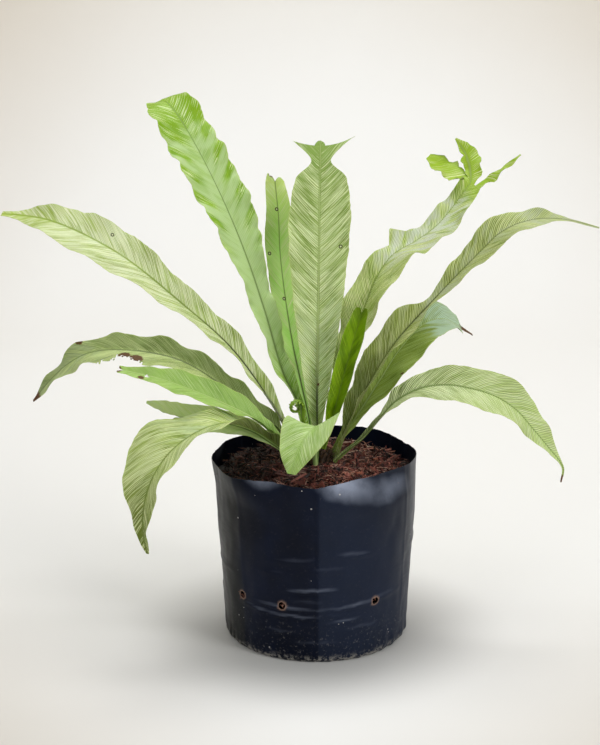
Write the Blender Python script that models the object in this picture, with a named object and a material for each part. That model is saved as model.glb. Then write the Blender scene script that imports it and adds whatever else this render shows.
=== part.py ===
"""Variegated bird's nest fern growing in a black polythene grow bag.

Frame: the origin is the centre of the bag's flat base, +Z is up and -Y is the
plant's front.  Angles are in degrees, counted from +X towards +Y.  A frond's
own numbers are millimetres, and everything else is metres.
"""

import random
from collections import namedtuple
from math import cos, hypot, pi, radians, sin

import bmesh
import bpy
from mathutils import Matrix, Vector
from mathutils.bvhtree import BVHTree
from mathutils.geometry import interpolate_bezier

MM = 0.001

# ---------------------------------------------------------------- driving sizes
BAG_TOP_RADIUS = 0.100
BAG_BASE_RADIUS = 0.090
BAG_HEIGHT = 0.181
BAG_FILM = 0.0009
BAG_FLOOR = 0.0017          # the base is folded over, so it is thicker than the wall
BAG_HEEL = 0.006            # height of the rounded turn between base and wall
BAG_TUCK = 0.0036           # how far the base stands in from the wall at that turn
DRAIN_DIAMETER = 0.007
DRAIN_HEIGHT = 0.058

FILL_DROP = 0.017           # from the rim down to the growing medium at the wall
FILL_MOUND = 0.009          # rise of the medium from the wall to the crown
FILL_BUMP = 0.0022          # unevenness of the medium's top
LUMP_TURNS = (190, 160)     # its larger lumps along X and Y, in radians per metre
CRUMB_TURNS = (420, 360)    # its smaller lumps, the same way

CROWN_RADIUS = 0.0145
CROWN_RISE = 0.012          # how far the rhizome stands above the medium
CROWN_SKIRT = 1.1           # its radius where it meets the medium, compared with CROWN_RADIUS
ROOT_RADIUS = 0.032
ROOT_DEPTH = 0.075

FROND_SCALE = 1.0           # scales the fronds' reach, rise and width together
BLADE_THICKNESS = 0.0010
RIPPLE_WIDTH = 0.012        # half width from which a blade's margin waves in full
INNER_RING = 0.55           # the inner fronds' feet, as a share of CROWN_RADIUS
INNER_RISE = 0.002          # how far these feet stand above the rhizome
OUTER_GAP = 0.0026          # from the rhizome's skirt out to the outer fronds' feet
OUTER_RISE = 0.002          # how far those stand above the medium

HUSK_COUNT = 12
HUSK_SIZE = 0.011
HUSK_RING = 0.66            # where the chips lie, as a share of the bag's top radius
HUSK_STAGGER = (-0.06, 0.14)  # added to that share, turn about

CURL_RADIUS = 0.0070        # coil of the youngest frond
CURL_STEM = 0.0044
CURL_RISE = 0.056           # height of the coil's outer side above the medium
CURL_REACH = 0.014
CURL_HEADING = 200
CURL_TURNS = 1.35

GAP = 0.0003                # clearance between pieces that touch or nest

# ---------------------------------------------------------------- mesh density
AROUND = 48
STATIONS = 22
COLUMNS = 4
LOBE_ROWS = 5
CURL_STEPS = 26

# The bag was folded flat before it was filled, so its mouth is an uneven
# polygon: (angle, radius compared with the top radius, lift of the rim).
MOUTH = (
    (-177, 1.02, 0.000),
    (-158, 1.02, -0.001),
    (-138, 1.07, -0.002),
    (-114, 1.03, 0.001),
    (-90, 1.03, -0.002),
    (-66, 0.94, 0.001),
    (-44, 0.91, 0.002),
    (-20, 0.96, 0.001),
    (0, 0.98, 0.000),
    (28, 1.01, -0.003),
    (52, 1.00, 0.002),
    (78, 1.00, 0.000),
    (104, 0.97, 0.001),
    (134, 0.99, -0.002),
    (158, 0.99, 0.001),
)
DRAIN_ANGLES = (-139, -110, -53, 53, 110, 139)

Frond = namedtuple("Frond", "name heading foot path width skew roll fold ripple lobes")
Lobe = namedtuple("Lobe", "first last length aim turn droop belly tip")

# heading: the way the frond leans.       foot: (ring, angle, extra height) of its base.
# path: (out, up[, left]) along the midrib from the crown.
# width: (share of length, half width).
# skew: (share, extra width of the left half).   roll: (share, angle) turning the face leftwards.
# fold: (share, angle) of each half above flat.      ripple: (height, wavelength, phase).
# Lobes split the tip: columns first..last, length, aim and further turn to the left,
# droop, belly and half width at the point.
INNER, OUTER = "inner", "outer"
FRONDS = (
    Frond("frond_rear_left_tall", 132, (INNER, 176, 0),
          ((28, 53), (50, 80), (78, 139), (111, 198), (153, 256), (200, 308), (232, 333), (250, 333)),
          ((0, 3), (0.1, 11), (0.3, 23), (0.5, 24), (0.75, 29), (0.9, 27), (1, 14)),
          ((0, 0), (0.15, -0.1), (0.35, -0.25), (0.55, 0), (0.8, 0.12), (1, 0.12)),
          ((0, 4), (0.5, 16), (1, 16)),
          ((0, 58), (0.35, 30), (0.7, 15), (1, 10)), (3, 62, 0.3), ()),
    Frond("frond_rear_torn", 108, (INNER, 122, 0),
          ((24, 36), (50, 66), (79, 101), (104, 143), (122, 186), (127, 222), (139, 256)),
          ((0, 3), (0.15, 8), (0.5, 13), (0.75, 15), (0.9, 11), (1, 9)),
          ((0, 0), (1, 0)), ((0, 0), (1, 5)), ((0, 55), (0.5, 30), (1, 12)),
          (1.5, 50, 0),
          (Lobe(0, 2, 10, 0, 10, 0, 0, 1.2), Lobe(2, 4, 5, 0, -10, 10, 0, 1.2))),
    Frond("frond_centre_tall", 88, (INNER, 82, 0),
          ((17, 58), (32, 110), (47, 155), (61, 200), (75, 243), (84, 268), (90, 284)),
          ((0, 3), (0.1, 10), (0.3, 19), (0.55, 27), (0.76, 31), (0.9, 25), (0.97, 12), (1, 13)),
          ((0, 0), (0.7, 0), (0.9, -0.08), (1, 0)), ((0, 0), (1, 0)), ((0, 60), (0.3, 35), (0.6, 16), (1, 8)),
          (1.8, 70, 1),
          (Lobe(0, 2, 26, 62, 10, 8, 0, 1.2), Lobe(2, 4, 30, -52, -6, 8, 0, 1.2))),
    Frond("frond_rear_right_crested", 42, (INNER, 28, -1),
          ((27, 51), (44, 102), (66, 149), (80, 173), (101, 192), (135, 203), (168, 218), (212, 254)),
          ((0, 3), (0.12, 9), (0.3, 18), (0.5, 24), (0.7, 23), (0.86, 18), (1, 12)),
          ((0, 0), (0.4, -0.05), (0.62, -0.35), (1, -0.1)), ((0, 0), (0.5, -14), (1, -30)),
          ((0, 55), (0.4, 30), (1, 10)), (3.5, 48, 0),
          (Lobe(0, 1, 50, 118, 14, -10, 9, 2.5), Lobe(1, 3, 46, 28, 62, -8, 2, 1.2),
           Lobe(3, 4, 58, -16, 4, -6, 0.5, 1.2))),
    Frond("frond_young_upright", 20, (INNER, 340, -1),
          ((20, 60, -4), (28, 88, -3), (37, 116, -1), (46, 144)),
          ((0, 2.6), (0.15, 7), (0.45, 14), (0.8, 14), (1, 10)),
          ((0, 0), (1, 0)), ((0, -56), (1, -56)), ((0, 60), (0.5, 48), (1, 40)),
          (1.2, 40, 0),
          (Lobe(0, 2, 5, 0, -8, 0, 0, 1.5), Lobe(2, 4, 6, 0, 8, 0, 0, 1.5))),
    Frond("frond_right_long", 12, (OUTER, 8, 0),
          ((29, 29), (43, 58), (75, 111), (116, 156), (160, 200), (184, 221), (214, 231), (247, 230),
           (282, 221)),
          ((0, 2.6), (0.08, 6), (0.25, 18), (0.37, 14), (0.46, 8), (0.58, 17), (0.7, 21), (0.8, 15), (0.9, 6),
           (1, 1.8)),
          ((0, 0), (0.4, 0), (0.6, -0.1), (1, 0.1)), ((0, -10), (0.4, -28), (1, -34)),
          ((0, 55), (0.3, 36), (0.7, 20), (1, 14)), (2.4, 55, 0.5), ()),
    Frond("frond_right_behind", 32, (OUTER, 38, 0),
          ((31, 19), (52, 44), (74, 71), (97, 99), (126, 122), (150, 125), (170, 115), (188, 104)),
          ((0, 2.6), (0.12, 8), (0.35, 19), (0.6, 24), (0.8, 21), (0.92, 8), (1, 2)),
          ((0, -0.1), (0.5, -0.2), (1, 0)), ((0, -12), (0.6, -34), (1, -34)),
          ((0, 50), (0.4, 28), (1, 14)), (2, 45, 0), ()),
    Frond("frond_right_arching", -14, (OUTER, -24, 0),
          ((29, 12), (47, 28), (63, 48), (80, 67), (102, 80), (126, 85), (150, 83), (173, 77), (193, 65),
           (209, 48), (224, 31), (238, 13), (237, -2)),
          ((0, 2.6), (0.18, 4), (0.28, 9), (0.45, 20), (0.6, 23), (0.78, 15), (0.92, 6), (1, 1.6)),
          ((0, 0), (0.5, -0.1), (0.8, 0.15), (1, 0)), ((0, -20), (0.5, -42), (1, -45)),
          ((0, 45), (0.4, 25), (1, 12)), (2.5, 50, 0), ()),
    Frond("frond_left_long", 156, (OUTER, 138, 1),
          ((32, 29), (49, 54), (92, 104), (148, 145), (208, 184), (258, 206), (300, 218), (332, 221),
           (358, 221)),
          ((0, 2.6), (0.08, 6), (0.25, 14), (0.5, 20), (0.7, 27), (0.85, 22), (0.95, 12), (1, 3)),
          ((0, 0.1), (0.5, 0.1), (1, 0)), ((0, 10), (0.4, 30), (1, 40)),
          ((0, 58), (0.3, 40), (0.6, 20), (1, 10)), (3, 60, 0), ()),
    Frond("frond_left_dark", 174, (OUTER, 166, 0),
          ((32, 21.5), (47, 40), (87, 69.5), (128, 95), (162, 104), (199, 106), (224, 102), (246, 90), (264, 73),
           (282, 52)),
          ((0, 2.6), (0.1, 7), (0.3, 16), (0.55, 21), (0.75, 19), (0.87, 12), (1, 2)),
          ((0, 0), (0.5, 0.15), (1, 0.2)), ((0, 10), (0.5, 34), (1, 36)),
          ((0, 50), (0.4, 28), (1, 12)), (3, 42, 0.8), ()),
    Frond("frond_left_pale", 196, (OUTER, 210, 1),
          ((27, 15), (42, 30), (63, 48), (92, 65), (122, 80), (152, 93), (184, 103)),
          ((0, 2.6), (0.2, 7), (0.5, 16), (0.7, 14), (0.88, 8), (1, 4)),
          ((0, 0.1), (0.5, 0.15), (1, 0.1)), ((0, 8), (0.5, 24), (1, 24)), ((0, 50), (0.5, 30), (1, 20)),
          (1.2, 35, 0),
          (Lobe(0, 2, 9, 0, 12, 8, 0, 1.2), Lobe(2, 4, 7, 0, -8, -4, 0, 1.2))),
    Frond("frond_left_forked", 183, (OUTER, 186, -0.5),
          ((29, 7), (43, 17), (62, 30), (84, 38), (108, 43), (130, 46)),
          ((0, 2.6), (0.2, 5), (0.5, 9), (0.8, 11), (1, 9)),
          ((0, 0), (1, 0)), ((0, 12), (1, 25)), ((0, 50), (0.5, 30), (1, 18)),
          (1, 30, 0),
          (Lobe(0, 2, 24, 8, 10, 0, 1, 1.2), Lobe(2, 4, 38, -4, -4, -6, 1, 1.2))),
    Frond("frond_front_left_drooping", 214, (OUTER, 237, 0),
          ((28, 11), (48, 27), (69, 42), (94, 53), (118, 54), (140, 48), (160, 37), (175, 22), (185, 4),
           (190, -15), (191, -36), (187, -57)),
          ((0, 2.6), (0.15, 8), (0.35, 17), (0.55, 24), (0.68, 25), (0.8, 16), (0.92, 7), (1, 1.6)),
          ((0, 0), (0.42, 0.2), (0.62, -0.4), (0.8, -0.2), (1, 0)), ((0, 0), (1, 12)),
          ((0, 50), (0.35, 28), (1, 12)),
          (2.5, 50, 0.4), ()),
    Frond("frond_front_short", 268, (OUTER, 268, 0),
          ((24, 18), (28, 33), (38, 45), (49, 49, 1), (60, 45, -6), (68, 36, -12), (75, 25, -17),
           (80, 12, -20)),
          ((0, 2.6), (0.2, 6), (0.42, 24), (0.6, 27), (0.8, 19), (0.93, 8), (1, 2)),
          ((0, 0), (1, 0)), ((0, 0), (1, -15)), ((0, 45), (0.4, 24), (1, 14)),
          (1.2, 30, 0), ()),
)

# ---------------------------------------------------------------- colours
FROND_COLOURS = {
    "frond_rear_left_tall": (0.30, 0.40, 0.07),
    "frond_rear_torn": (0.14, 0.25, 0.07),
    "frond_centre_tall": (0.22, 0.29, 0.11),
    "frond_rear_right_crested": (0.34, 0.42, 0.24),
    "frond_young_upright": (0.13, 0.32, 0.03),
    "frond_right_long": (0.19, 0.26, 0.11),
    "frond_right_behind": (0.17, 0.28, 0.10),
    "frond_right_arching": (0.24, 0.34, 0.10),
    "frond_left_long": (0.36, 0.40, 0.20),
    "frond_left_dark": (0.12, 0.19, 0.08),
    "frond_left_pale": (0.36, 0.46, 0.16),
    "frond_left_forked": (0.27, 0.37, 0.10),
    "frond_front_left_drooping": (0.25, 0.31, 0.14),
    "frond_front_short": (0.33, 0.42, 0.17),
}
FILM_COLOUR = (0.012, 0.013, 0.016)
FILL_COLOUR = (0.14, 0.065, 0.035)
CROWN_COLOUR = (0.035, 0.022, 0.014)
HUSK_COLOUR = (0.20, 0.095, 0.05)
CURL_COLOUR = (0.16, 0.33, 0.03)


# ---------------------------------------------------------------- general helpers
def clear_scene():
    for item in list(bpy.data.objects):
        bpy.data.objects.remove(item, do_unlink=True)


def material(name, colour, roughness):
    made = bpy.data.materials.new(name)
    made.use_nodes = True
    shader = made.node_tree.nodes["Principled BSDF"]
    shader.inputs["Base Color"].default_value = (*colour, 1)
    shader.inputs["Roughness"].default_value = roughness
    shader.inputs["Metallic"].default_value = 0
    return made


def add_object(name, mesh, made_of, smooth=True):
    mesh.materials.append(made_of)
    if smooth:
        mesh.shade_smooth()
    item = bpy.data.objects.new(name, mesh)
    bpy.context.scene.collection.objects.link(item)
    return item


def mesh_from(name, points, faces, outward=True):
    mesh = bpy.data.meshes.new(name)
    mesh.from_pydata([tuple(point) for point in points], [], faces)
    if outward:
        work = bmesh.new()
        work.from_mesh(mesh)
        bmesh.ops.recalc_face_normals(work, faces=work.faces)
        work.to_mesh(mesh)
        work.free()
    mesh.update()
    return mesh


def polar(radius, angle, height=0.0):
    return Vector((radius * cos(radians(angle)), radius * sin(radians(angle)), height))


def between(low, high, share):
    return low + (high - low) * share


def knot_slope(knots, index):
    """Slope at a knot, level at a peak or a waist so that the curve never overshoots."""
    if index in (0, len(knots) - 1):
        near = knots[1] if index == 0 else knots[-2]
        return (knots[index][1] - near[1]) / (knots[index][0] - near[0])
    (before, low), (here, middle), (after, high) = knots[index - 1:index + 2]
    if (middle - low) * (high - middle) <= 0:
        return 0.0
    first = (middle - low) / (here - before)
    second = (high - middle) / (after - here)
    return 2 * first * second / (first + second)


def knots_at(knots, share):
    """Value at a share of the length, on a smooth curve through (share, value) knots."""
    for index, ((start, low), (end, high)) in enumerate(zip(knots, knots[1:])):
        if share <= end:
            span = end - start
            step = (share - start) / span
            leave = knot_slope(knots, index) * span
            arrive = knot_slope(knots, index + 1) * span
            ease = step * step * (3 - 2 * step)
            bend = step * (1 - step) * (leave * (1 - step) - arrive * step)
            return between(low, high, ease) + bend
    return knots[-1][1]


# ---------------------------------------------------------------- grow bag and its fill
def mouth_at(angle):
    """Radius share and lift of the rim, straight between the creases of the mouth."""
    turned = (angle - MOUTH[0][0]) % 360 + MOUTH[0][0]
    ring = MOUTH + ((MOUTH[0][0] + 360, *MOUTH[0][1:]),)
    for (start, share_a, lift_a), (end, share_b, lift_b) in zip(ring, ring[1:]):
        if turned <= end:
            step = (turned - start) / (end - start)
            return between(share_a, share_b, step), between(lift_a, lift_b, step)
    return ring[-1][1:]


def bag_radius(angle, height):
    """Outer radius of the bag: nearly round at the base, creased at the mouth."""
    rise = min(max(height / BAG_HEIGHT, 0), 1)
    share, _ = mouth_at(angle)
    radius = between(BAG_BASE_RADIUS, BAG_TOP_RADIUS, rise) * between(1, share, rise ** 1.5)
    heel = max(0, 1 - height / BAG_HEEL)
    return radius - BAG_TUCK * heel * heel


def wall_ring(height, inset, lifted=False):
    ring = []
    for step in range(AROUND):
        angle = 360 * step / AROUND
        lift = mouth_at(angle)[1] if lifted else 0
        ring.append(polar(bag_radius(angle, height) - inset, angle, height + lift))
    return ring


def loft(rings, cap_first=True, cap_last=True):
    """Closed skin through rings that all have the same number of points.

    The quads are split along the diagonal that rises with the angle, so that two
    nested skins with the same steps have parallel facets.
    """
    count = len(rings[0])
    points = [point for ring in rings for point in ring]
    faces = []
    for low in range(len(rings) - 1):
        rising = rings[low + 1][0].z >= rings[low][0].z
        for step in range(count):
            a = low * count + step
            b = low * count + (step + 1) % count
            if rising:
                faces += [(a, b, b + count), (a, b + count, a + count)]
            else:
                faces += [(a, b, a + count), (b, b + count, a + count)]
    if cap_first:
        faces.append(tuple(range(count)))
    if cap_last:
        faces.append(tuple(range((len(rings) - 1) * count, len(rings) * count)))
    return points, faces


WALL_LEVELS = (0, 0.35, 1)          # levels within the rounded heel
BODY_LEVELS = (0.2, 0.4, 0.6, 0.8)  # levels between the heel and the rim


def outer_levels():
    heel = [BAG_HEEL * share for share in WALL_LEVELS]
    return heel + [BAG_HEIGHT * share for share in BODY_LEVELS]


def make_bag():
    outside = [wall_ring(height, 0) for height in outer_levels()]
    outside.append(wall_ring(BAG_HEIGHT, 0, lifted=True))
    inside = [wall_ring(BAG_HEIGHT, BAG_FILM, lifted=True)]
    inside += [wall_ring(height, BAG_FILM) for height in reversed(outer_levels()[1:])]
    floor = wall_ring(BAG_HEEL * WALL_LEVELS[1], BAG_FILM)
    inside[-1] = [Vector((point.x, point.y, BAG_FLOOR)) for point in floor]
    points, faces = loft(outside + inside)
    mesh = mesh_from("grow_bag", points, faces)
    bag = add_object("grow_bag", mesh, material("grow_bag", FILM_COLOUR, 0.38))
    for angle in DRAIN_ANGLES:
        cut_drain(bag, angle)
    return bag


def cut_drain(bag, angle):
    radius = DRAIN_DIAMETER / 2
    work = bmesh.new()
    bmesh.ops.create_cone(work, cap_ends=True, segments=14, radius1=radius, radius2=radius,
                          depth=16 * BAG_FILM)
    place = Matrix.Translation(polar(bag_radius(angle, DRAIN_HEIGHT), angle, DRAIN_HEIGHT))
    turn = Matrix.Rotation(radians(angle), 4, "Z") @ Matrix.Rotation(pi / 2, 4, "Y")
    bmesh.ops.transform(work, matrix=place @ turn, verts=work.verts)
    mesh = bpy.data.meshes.new("drain_cutter")
    work.to_mesh(mesh)
    work.free()
    cutter = bpy.data.objects.new("drain_cutter", mesh)
    bpy.context.scene.collection.objects.link(cutter)
    cutter.hide_render = True
    cutter.display_type = "WIRE"
    cut = bag.modifiers.new("drain", "BOOLEAN")
    cut.operation = "DIFFERENCE"
    cut.solver = "EXACT"
    cut.object = cutter


def fill_level(x, y):
    """Height of the growing medium's surface."""
    reach = min(hypot(x, y) / BAG_TOP_RADIUS, 1)
    lumps = sin(x * LUMP_TURNS[0] + 1.3) * cos(y * LUMP_TURNS[1])
    crumbs = 0.6 * sin(x * CRUMB_TURNS[0] + y * CRUMB_TURNS[1])
    calm = min(1, max(0, (hypot(x, y) - ROOT_RADIUS) / ROOT_RADIUS))
    mound = FILL_MOUND * (1 - reach * reach)
    return BAG_HEIGHT - FILL_DROP + mound + FILL_BUMP * (lumps + crumbs) * calm


def fill_radius(angle, height):
    return bag_radius(angle, height) - BAG_FILM - GAP


def brim_point(angle):
    """Where the medium's surface meets the bag's wall, which is straight from its last ring to the rim."""
    guess = polar(fill_radius(angle, BAG_HEIGHT - FILL_DROP), angle)
    height = fill_level(guess.x, guess.y)
    ring = BAG_HEIGHT * BODY_LEVELS[-1]
    share = (height - ring) / (BAG_HEIGHT + mouth_at(angle)[1] - ring)
    return polar(between(fill_radius(angle, ring), fill_radius(angle, BAG_HEIGHT), share), angle, height)


def root_profile():
    """(radius, height) down the rhizome and its root ball, from the top."""
    seat = fill_level(0, 0)
    crown = CROWN_RADIUS
    return [
        (crown * 0.35, seat + CROWN_RISE),
        (crown * 0.75, seat + CROWN_RISE * 0.85),
        (crown, seat + CROWN_RISE * 0.4),
        (crown * CROWN_SKIRT, seat - CROWN_RISE * 0.2),
        (crown * 1.3, seat - CROWN_RISE * 0.9),
        (ROOT_RADIUS, seat - CROWN_RISE * 1.6),
        (ROOT_RADIUS * 0.96, seat - ROOT_DEPTH * 0.6),
        (ROOT_RADIUS * 0.80, seat - ROOT_DEPTH),
    ]


def turned_ring(radius, height, sides):
    return [polar(radius, 360 * step / sides, height) for step in range(sides)]


def make_medium():
    """Growing medium with a pocket, open at the crown, that holds the root ball."""
    low = BAG_FLOOR + GAP
    brim_foot = BAG_HEIGHT - FILL_DROP - 2 * FILL_BUMP
    levels = [height for height in outer_levels()[2:] if height < brim_foot]
    floor = [Vector((point.x, point.y, low)) for point in wall_ring(BAG_HEEL * WALL_LEVELS[1],
                                                                    BAG_FILM + GAP)]
    rings = [floor]
    for height in levels:
        rings.append([polar(fill_radius(360 * step / AROUND, height), 360 * step / AROUND, height)
                      for step in range(AROUND)])
    brim = [brim_point(360 * step / AROUND) for step in range(AROUND)]
    rings.append(brim)
    neck_radius = root_profile()[3][0] + GAP
    for share in (0.85, 0.65, 0.45, 0.2, 0):
        ring = []
        for point in brim:
            flat = Vector((point.x, point.y))
            flat = flat.normalized() * between(neck_radius, flat.length, share)
            ring.append(Vector((flat.x, flat.y, fill_level(flat.x, flat.y))))
        rings.append(ring)
    for radius, height in root_profile()[4:]:
        rings.append(turned_ring(radius + GAP, height, AROUND))
    last_radius, last_height = root_profile()[-1]
    rings.append(turned_ring(last_radius, last_height - 2 * GAP, AROUND))
    points, faces = loft(rings)
    mesh = mesh_from("growing_medium", points, faces)
    return add_object("growing_medium", mesh, material("growing_medium", FILL_COLOUR, 0.95))


def make_rhizome():
    rings = [turned_ring(radius, height, AROUND) for radius, height in root_profile()]
    points, faces = loft(rings)
    mesh = mesh_from("rhizome_and_roots", points, faces)
    return add_object("rhizome_and_roots", mesh, material("rhizome_and_roots", CROWN_COLOUR, 0.9))


# ---------------------------------------------------------------- fronds
def crown_point():
    return Vector((0, 0, fill_level(0, 0)))


def smooth_line(points, per_span=12):
    """A smooth curve through the points, as Bezier spans with shared tangents."""
    line = []
    for index in range(len(points) - 1):
        before = points[max(index - 1, 0)]
        start, end = points[index], points[index + 1]
        after = points[min(index + 2, len(points) - 1)]
        span = (end - start).length
        leave = (end - before).normalized() * span / 3
        arrive = (after - start).normalized() * span / 3
        line += interpolate_bezier(start, start + leave, end - arrive, end, per_span + 1)[:-1]
    line.append(points[-1])
    return line


def evenly(line, count):
    """Positions and directions at equal steps along a polyline."""
    lengths = [0.0]
    for start, end in zip(line, line[1:]):
        lengths.append(lengths[-1] + (end - start).length)
    spots = []
    index = 0
    for step in range(count + 1):
        target = lengths[-1] * step / count
        while index < len(line) - 2 and lengths[index + 1] < target:
            index += 1
        start, end = line[index], line[index + 1]
        share = (target - lengths[index]) / (lengths[index + 1] - lengths[index])
        spots.append((start.lerp(end, share), (end - start).normalized()))
    return spots, lengths[-1]


def foot_point(ring, angle, extra):
    """Where a frond grows from: the top of the rhizome, or close beside it."""
    if ring == INNER:
        return crown_point() + polar(CROWN_RADIUS * INNER_RING, angle, CROWN_RISE + INNER_RISE + extra * MM)
    return crown_point() + polar(CROWN_RADIUS * CROWN_SKIRT + OUTER_GAP, angle, OUTER_RISE + extra * MM)


def frond_line(frond):
    crown = crown_point()
    points = [foot_point(*frond.foot)]
    leftwards = polar(1, frond.heading + 90)
    for out, up, *left in frond.path:
        spot = polar(out, frond.heading, up) + leftwards * sum(left)
        points.append(crown + spot * MM * FROND_SCALE)
    return smooth_line(points)


def blade_row(frond, share, length, centre, along):
    """One row of points across the blade, from its left edge to its right."""
    side = polar(1, frond.heading + 90)
    across = (side - along * side.dot(along)).normalized()
    face = along.cross(across)
    roll = radians(knots_at(frond.roll, share))
    across, face = across * cos(roll) - face * sin(roll), face * cos(roll) + across * sin(roll)
    fold = radians(knots_at(frond.fold, share))
    half = knots_at(frond.width, share) * MM * FROND_SCALE
    skew = knots_at(frond.skew, share)
    height, wave, phase = frond.ripple
    ease = min(1, half / (RIPPLE_WIDTH * FROND_SCALE))
    row = []
    for column in range(COLUMNS + 1):
        reach = 1 - 2 * column / COLUMNS
        out = half * reach * (1 + (skew if reach > 0 else -skew))
        sway = sin(2 * pi * share * length / (wave * MM * FROND_SCALE) + phase + (1.9 if reach > 0 else 0))
        lift = abs(out) * sin(fold) + height * MM * ease * reach * reach * sway
        row.append(centre + across * out * cos(fold) + face * lift)
    return row, across, face


def lobe_rows(row, across, face, along, lobe):
    """Rows of one tip lobe, which starts on part of the blade's last row."""
    start = row[lobe.first:lobe.last + 1]
    centre = (start[0] + start[-1]) / 2
    offsets = [(point - centre).dot(across) for point in start]
    lifts = [(point - centre).dot(face) for point in start]
    half = max(abs(offsets[0]), 0.001)
    step = lobe.length * MM * FROND_SCALE / LOBE_ROWS
    rows = []
    aim = Matrix.Rotation(radians(lobe.aim), 3, face)
    along, across = aim @ along, aim @ across
    for index in range(1, LOBE_ROWS + 1):
        share = index / LOBE_ROWS
        turn = Matrix.Rotation(radians(lobe.turn / LOBE_ROWS), 3, face)
        along, across = turn @ along, turn @ across
        droop = Matrix.Rotation(radians(lobe.droop / LOBE_ROWS), 3, across)
        along, face = droop @ along, droop @ face
        centre = centre + along * step
        belly = lobe.belly * MM * sin(pi * share)
        size = (between(half, lobe.tip * MM, share ** 1.4) + belly) / half
        rows.append([centre + across * (out * size) + face * (lift * size)
                     for out, lift in zip(offsets, lifts)])
    return rows


def make_frond(frond):
    spots, length = evenly(frond_line(frond), STATIONS)
    points = []
    faces = []
    for index, (centre, along) in enumerate(spots):
        row, across, face = blade_row(frond, index / STATIONS, length, centre, along)
        points += row
    width = COLUMNS + 1
    for index in range(STATIONS):
        for column in range(COLUMNS):
            a = index * width + column
            faces.append((a, a + 1, a + 1 + width, a + width))
    last = STATIONS * width
    for lobe in frond.lobes:
        previous = list(range(last + lobe.first, last + lobe.last + 1))
        for lobed in lobe_rows(row, across, face, along, lobe):
            current = list(range(len(points), len(points) + len(lobed)))
            points += lobed
            for column in range(len(lobed) - 1):
                faces.append((previous[column], previous[column + 1],
                              current[column + 1], current[column]))
            previous = current
    mesh = mesh_from(frond.name, points, faces, outward=False)
    item = add_object(frond.name, mesh, material(frond.name, FROND_COLOURS[frond.name], 0.42))
    solid = item.modifiers.new("thickness", "SOLIDIFY")
    solid.thickness = BLADE_THICKNESS
    solid.offset = 0
    return item


def make_crozier():
    """Young frond, still coiled, on a slim stem that leans to the front left."""
    foot = foot_point(INNER, CURL_HEADING + 22, 0)
    lean = polar(1, CURL_HEADING)
    top = crown_point() + lean * CURL_REACH + Vector((0, 0, CURL_RISE))
    bend = top - Vector((0, 0, CURL_RISE / 2))
    line = [(spot, 1) for spot in interpolate_bezier(foot, foot.lerp(bend, 0.5), bend, top, 9)[:-1]]
    centre = top + lean * CURL_RADIUS
    for index in range(CURL_STEPS + 1):
        share = index / CURL_STEPS
        radius = CURL_RADIUS * between(1, 0.22, share)
        angle = pi - 2 * pi * CURL_TURNS * share
        spot = centre + lean * radius * cos(angle) + Vector((0, 0, radius * sin(angle)))
        line.append((spot, between(1, 0.30, share)))
    return tube("crozier", line, CURL_STEM / 2, material("crozier", CURL_COLOUR, 0.45), lean)


def tube(name, line, radius, made_of, plane):
    """Tapered round tube along (point, size) pairs that lie in one upright plane."""
    normal = plane.cross(Vector((0, 0, 1)))
    rings = []
    sides = 8
    for index, (spot, size) in enumerate(line):
        before = line[max(index - 1, 0)][0]
        after = line[min(index + 1, len(line) - 1)][0]
        along = (after - before).normalized()
        other = along.cross(normal).normalized()
        rings.append([spot + (normal * cos(2 * pi * step / sides) + other * sin(2 * pi * step / sides))
                      * radius * size for step in range(sides)])
    points, faces = loft(rings)
    return add_object(name, mesh_from(name, points, faces), made_of)


# ---------------------------------------------------------------- husk chips
def make_husks(medium):
    """Loose coir chips that lie on the growing medium, clear of each other."""
    ground = BVHTree.FromPolygons([vertex.co for vertex in medium.data.vertices],
                                  [face.vertices for face in medium.data.polygons])
    colour = material("husk_chip", HUSK_COLOUR, 0.95)
    source = random.Random(7)
    for index in range(HUSK_COUNT):
        angle = 360 * (index + 0.5) / HUSK_COUNT + source.uniform(-6, 6)
        share = HUSK_RING + HUSK_STAGGER[index % 2]
        radius = BAG_TOP_RADIUS * share * min(1, mouth_at(angle)[0])
        make_husk(f"husk_chip_{index + 1:02d}", angle, radius, ground, colour, source)


def make_husk(name, angle, radius, ground, colour, source):
    work = bmesh.new()
    size = Vector((HUSK_SIZE, HUSK_SIZE * 0.55, HUSK_SIZE * 0.3)) * source.uniform(0.75, 1.1)
    for _ in range(11):
        corner = Vector([source.uniform(-0.5, 0.5) for _ in range(3)]).normalized() * 0.5
        work.verts.new((corner.x * size.x, corner.y * size.y, corner.z * size.z))
    bmesh.ops.convex_hull(work, input=work.verts)
    loose = [vertex for vertex in work.verts if not vertex.link_faces]
    bmesh.ops.delete(work, geom=loose, context="VERTS")
    bmesh.ops.recalc_face_normals(work, faces=work.faces)
    spin = Matrix.Rotation(source.uniform(0, 2 * pi), 4, "Z")
    tilt = Matrix.Rotation(source.uniform(-0.25, 0.25), 4, "X")
    place = Matrix.Translation(polar(radius, angle, BAG_HEIGHT * 2))
    bmesh.ops.transform(work, matrix=place @ spin @ tilt, verts=work.verts)
    drop = resting_drop(BVHTree.FromBMesh(work), place.translation, ground)
    bmesh.ops.translate(work, verts=work.verts, vec=(0, 0, -drop))
    mesh = bpy.data.meshes.new(name)
    work.to_mesh(mesh)
    work.free()
    add_object(name, mesh, colour, smooth=False)


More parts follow.
